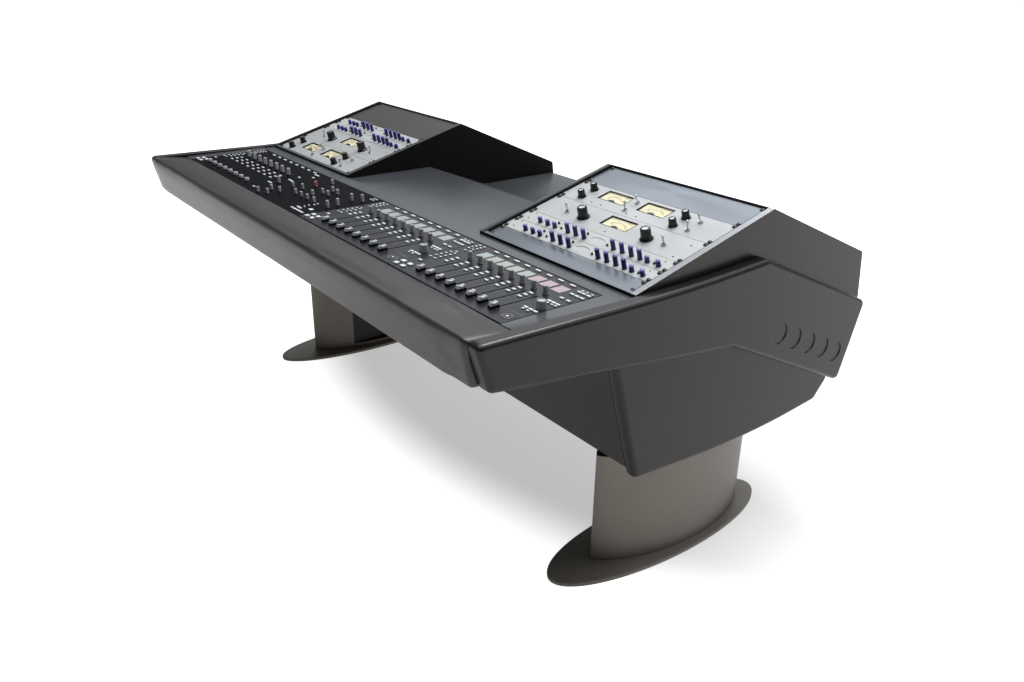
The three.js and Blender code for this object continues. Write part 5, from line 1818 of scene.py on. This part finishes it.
class DESK_OT_stage(bpy.types.Operator):
    """Lay the floor, and set the lights and the camera"""

    bl_idname = "desk.stage"
    bl_label = "Stage"

    def execute(self, context):
        bm = bmesh.new()
        bmesh.ops.create_circle(bm, cap_ends=True, segments=96, radius=60.0)
        mesh = bpy.data.meshes.new("floor")
        bm.to_mesh(mesh)
        bm.free()
        mesh.materials.append(finish("studio floor", self.studio_floor))
        floor = bpy.data.objects.new("floor", mesh)
        floor.location.z = -0.0005
        context.scene.collection.objects.link(floor)
        self.lights(context)
        self.camera(context)
        context.scene.view_settings.view_transform = "Standard"
        return {"FINISHED"}

    def studio_floor(self, name):
        # Painted studio floor: matt, almost white, with a barely uneven roll.
        tone = colours().floor
        material, shader = new_finish(name, {"Roughness": 0.85, "Specular IOR Level": 0.1})
        place = add_node(material, "ShaderNodeTexCoord").outputs["Object"]
        roll = add_node(material, "ShaderNodeTexNoise", {"Vector": place, "Scale": 1.5, "Detail": 3.0})
        hue = add_node(material, "ShaderNodeValToRGB", {"Fac": roll.outputs["Fac"]})
        hue.color_ramp.elements[0].color = shade(tone, 0.99)
        hue.color_ramp.elements[1].color = shade(tone, 1.01)
        # It fades to pure white away from the desk, as a studio cove does, and the desk's shade is painted on
        # it, for the camera only, as an even grey under and behind the desk.
        spread = add_node(material, "ShaderNodeVectorMath", {0: place}, operation="LENGTH")
        cove = add_node(material, "ShaderNodeMapRange", {
            "Value": spread.outputs["Value"], "From Min": 1.2, "From Max": 4.0, "To Min": 0.36, "To Max": 1.0,
        }, interpolation_type="SMOOTHSTEP")
        behind = add_node(material, "ShaderNodeVectorMath", {0: place, 1: (0.0, -0.7, 0.0)})
        oval = add_node(material, "ShaderNodeVectorMath", {
            0: behind.outputs["Vector"], 1: (0.6, 1.0, 0.0)}, operation="MULTIPLY")
        reach = add_node(material, "ShaderNodeVectorMath", {0: oval.outputs["Vector"]}, operation="LENGTH")
        shadow = add_node(material, "ShaderNodeMapRange", {
            "Value": reach.outputs["Value"], "From Min": 0.8, "From Max": 1.05, "To Min": 0.47, "To Max": 1.1,
        }, interpolation_type="SMOOTHSTEP")
        seen = add_node(material, "ShaderNodeLightPath").outputs["Is Camera Ray"]
        glow = add_node(material, "ShaderNodeMix", {
            "Factor": seen, "A": cove.outputs["Result"], "B": shadow.outputs["Result"]})
        # For everything but the camera it glows slightly warm: a glow that stands in for the light its paint
        # throws back up at the desk.
        warm = add_node(material, "ShaderNodeMixRGB", {
            "Fac": seen, "Color1": (1.0, 0.96, 0.93, 1.0), "Color2": (1.0, 1.0, 1.0, 1.0)})
        feed(material, shader, {
            "Emission Color": warm.outputs["Color"], "Emission Strength": glow.outputs["Result"],
            "Base Color": hue.outputs["Color"]})
        return material

    def lights(self, context):
        """A pale studio: bright behind and above, dark low down and on the camera's side."""
        world = bpy.data.worlds.new("studio")
        world.use_nodes = True
        tree = world.node_tree
        background = tree.nodes["Background"]
        way = add_node(world, "ShaderNodeTexCoord").outputs["Generated"]
        height = add_node(world, "ShaderNodeSeparateXYZ", {"Vector": way})
        towards = add_node(world, "ShaderNodeVectorMath", {0: way, 1: BACKDROP_WAY}, operation="DOT_PRODUCT")
        past = add_node(world, "ShaderNodeVectorMath", {0: way, 1: BACKDROP_EDGE}, operation="DOT_PRODUCT")
        side = add_node(world, "ShaderNodeMapRange", {
            "Value": past.outputs["Value"], "From Min": -0.16, "From Max": 0.1,
        }, interpolation_type="SMOOTHSTEP")
        rise = add_node(world, "ShaderNodeMapRange", {
            "Value": height.outputs["Z"], "From Min": 0.15, "From Max": 0.4}, interpolation_type="SMOOTHSTEP")
        end = add_node(world, "ShaderNodeMapRange", {
            "Value": height.outputs["X"], "From Min": 0.0, "From Max": 0.45, "To Min": 1.1, "To Max": 0.0,
        }, interpolation_type="SMOOTHSTEP")
        sheet = add_node(world, "ShaderNodeMath", {
            0: side.outputs["Result"], 1: rise.outputs["Result"]}, operation="MULTIPLY")
        backdrop = add_node(world, "ShaderNodeMath", {
            0: sheet.outputs["Value"], 1: end.outputs["Result"]}, operation="MULTIPLY")
        ambient = add_node(world, "ShaderNodeMapRange", {
            "Value": towards.outputs["Value"], "From Min": -0.6, "From Max": 0.8, "To Min": 0.03,
            "To Max": 0.24})
        total = add_node(world, "ShaderNodeMath", {
            0: backdrop.outputs["Value"], 1: ambient.outputs["Result"]})
        seen = add_node(world, "ShaderNodeLightPath")
        strength = add_node(world, "ShaderNodeMix", {
            "Factor": seen.outputs["Is Camera Ray"], "A": total.outputs["Value"], "B": 1.1})
        tree.links.new(strength.outputs["Result"], background.inputs["Strength"])
        background.inputs["Color"].default_value = (0.93, 0.965, 1.0, 1.0)
        context.scene.world = world
        for name, place, aim, size, power in LIGHTS:
            light = bpy.data.lights.new(name, "AREA")
            light.size = size
            light.energy = power
            lamp = bpy.data.objects.new(name, light)
            lamp.location = place
            lamp.rotation_euler = (Vector(aim) - Vector(place)).to_track_quat("-Z", "Y").to_euler()
            context.scene.collection.objects.link(lamp)

    def camera(self, context):
        yaw, pitch, roll = CAMERA_YAW, CAMERA_PITCH, CAMERA_ROLL
        away = Vector((-math.sin(yaw) * math.cos(pitch), math.cos(yaw) * math.cos(pitch), -math.sin(pitch)))
        right = away.cross(Vector((0, 0, 1))).normalized()
        up = right.cross(away)
        rolled_right = math.cos(roll) * right + math.sin(roll) * up
        rolled_up = -math.sin(roll) * right + math.cos(roll) * up
        data = bpy.data.cameras.new("camera")
        data.lens = CAMERA_LENS
        data.sensor_width = 36.0
        camera = bpy.data.objects.new("camera", data)
        turn = Matrix((rolled_right, rolled_up, -away)).transposed().to_4x4()
        camera.matrix_world = Matrix.Translation(CAMERA_PLACE) @ turn
        context.scene.collection.objects.link(camera)
        context.scene.camera = camera


PIECES = (
    DESK_OT_armrest,
    DESK_OT_side_fascias,
    DESK_OT_end_panels,
    DESK_OT_boards,
    DESK_OT_edge_trims,
    DESK_OT_blank_units,
    DESK_OT_channel_units,
    DESK_OT_meter_units,
    DESK_OT_gain_knobs,
    DESK_OT_toggle_levers,
    DESK_OT_control_surface,
    DESK_OT_keys,
    DESK_OT_screens,
    DESK_OT_encoders,
    DESK_OT_scales,
    DESK_OT_faders,
    DESK_OT_data_wheels,
    DESK_OT_pedestals,
    DESK_OT_stage,
)


class DESK_PT_pieces(bpy.types.Panel):
    """The desk's pieces, sizes and colours"""

    bl_idname = "DESK_PT_pieces"
    bl_label = "Studio desk"
    bl_space_type = "VIEW_3D"
    bl_region_type = "UI"
    bl_category = "Desk"

    def draw(self, context):
        for operator in PIECES:
            self.layout.operator(operator.bl_idname)
        for group in (context.scene.desk_sizes, context.scene.desk_colours):
            column = self.layout.column(align=True)
            for name in group.__annotations__:
                column.prop(group, name)


CLASSES = (DeskSizes, DeskColours, *PIECES, DESK_PT_pieces)


def register():
    for cls in CLASSES:
        bpy.utils.register_class(cls)
    bpy.types.Scene.desk_sizes = bpy.props.PointerProperty(type=DeskSizes)
    bpy.types.Scene.desk_colours = bpy.props.PointerProperty(type=DeskColours)


def unregister():
    del bpy.types.Scene.desk_colours
    del bpy.types.Scene.desk_sizes
    for cls in reversed(CLASSES):
        bpy.utils.unregister_class(cls)


def main():
    register()
    for operator in PIECES:
        group, name = operator.bl_idname.split(".")
        getattr(getattr(bpy.ops, group), name)()


if __name__ == "__main__":
    main()
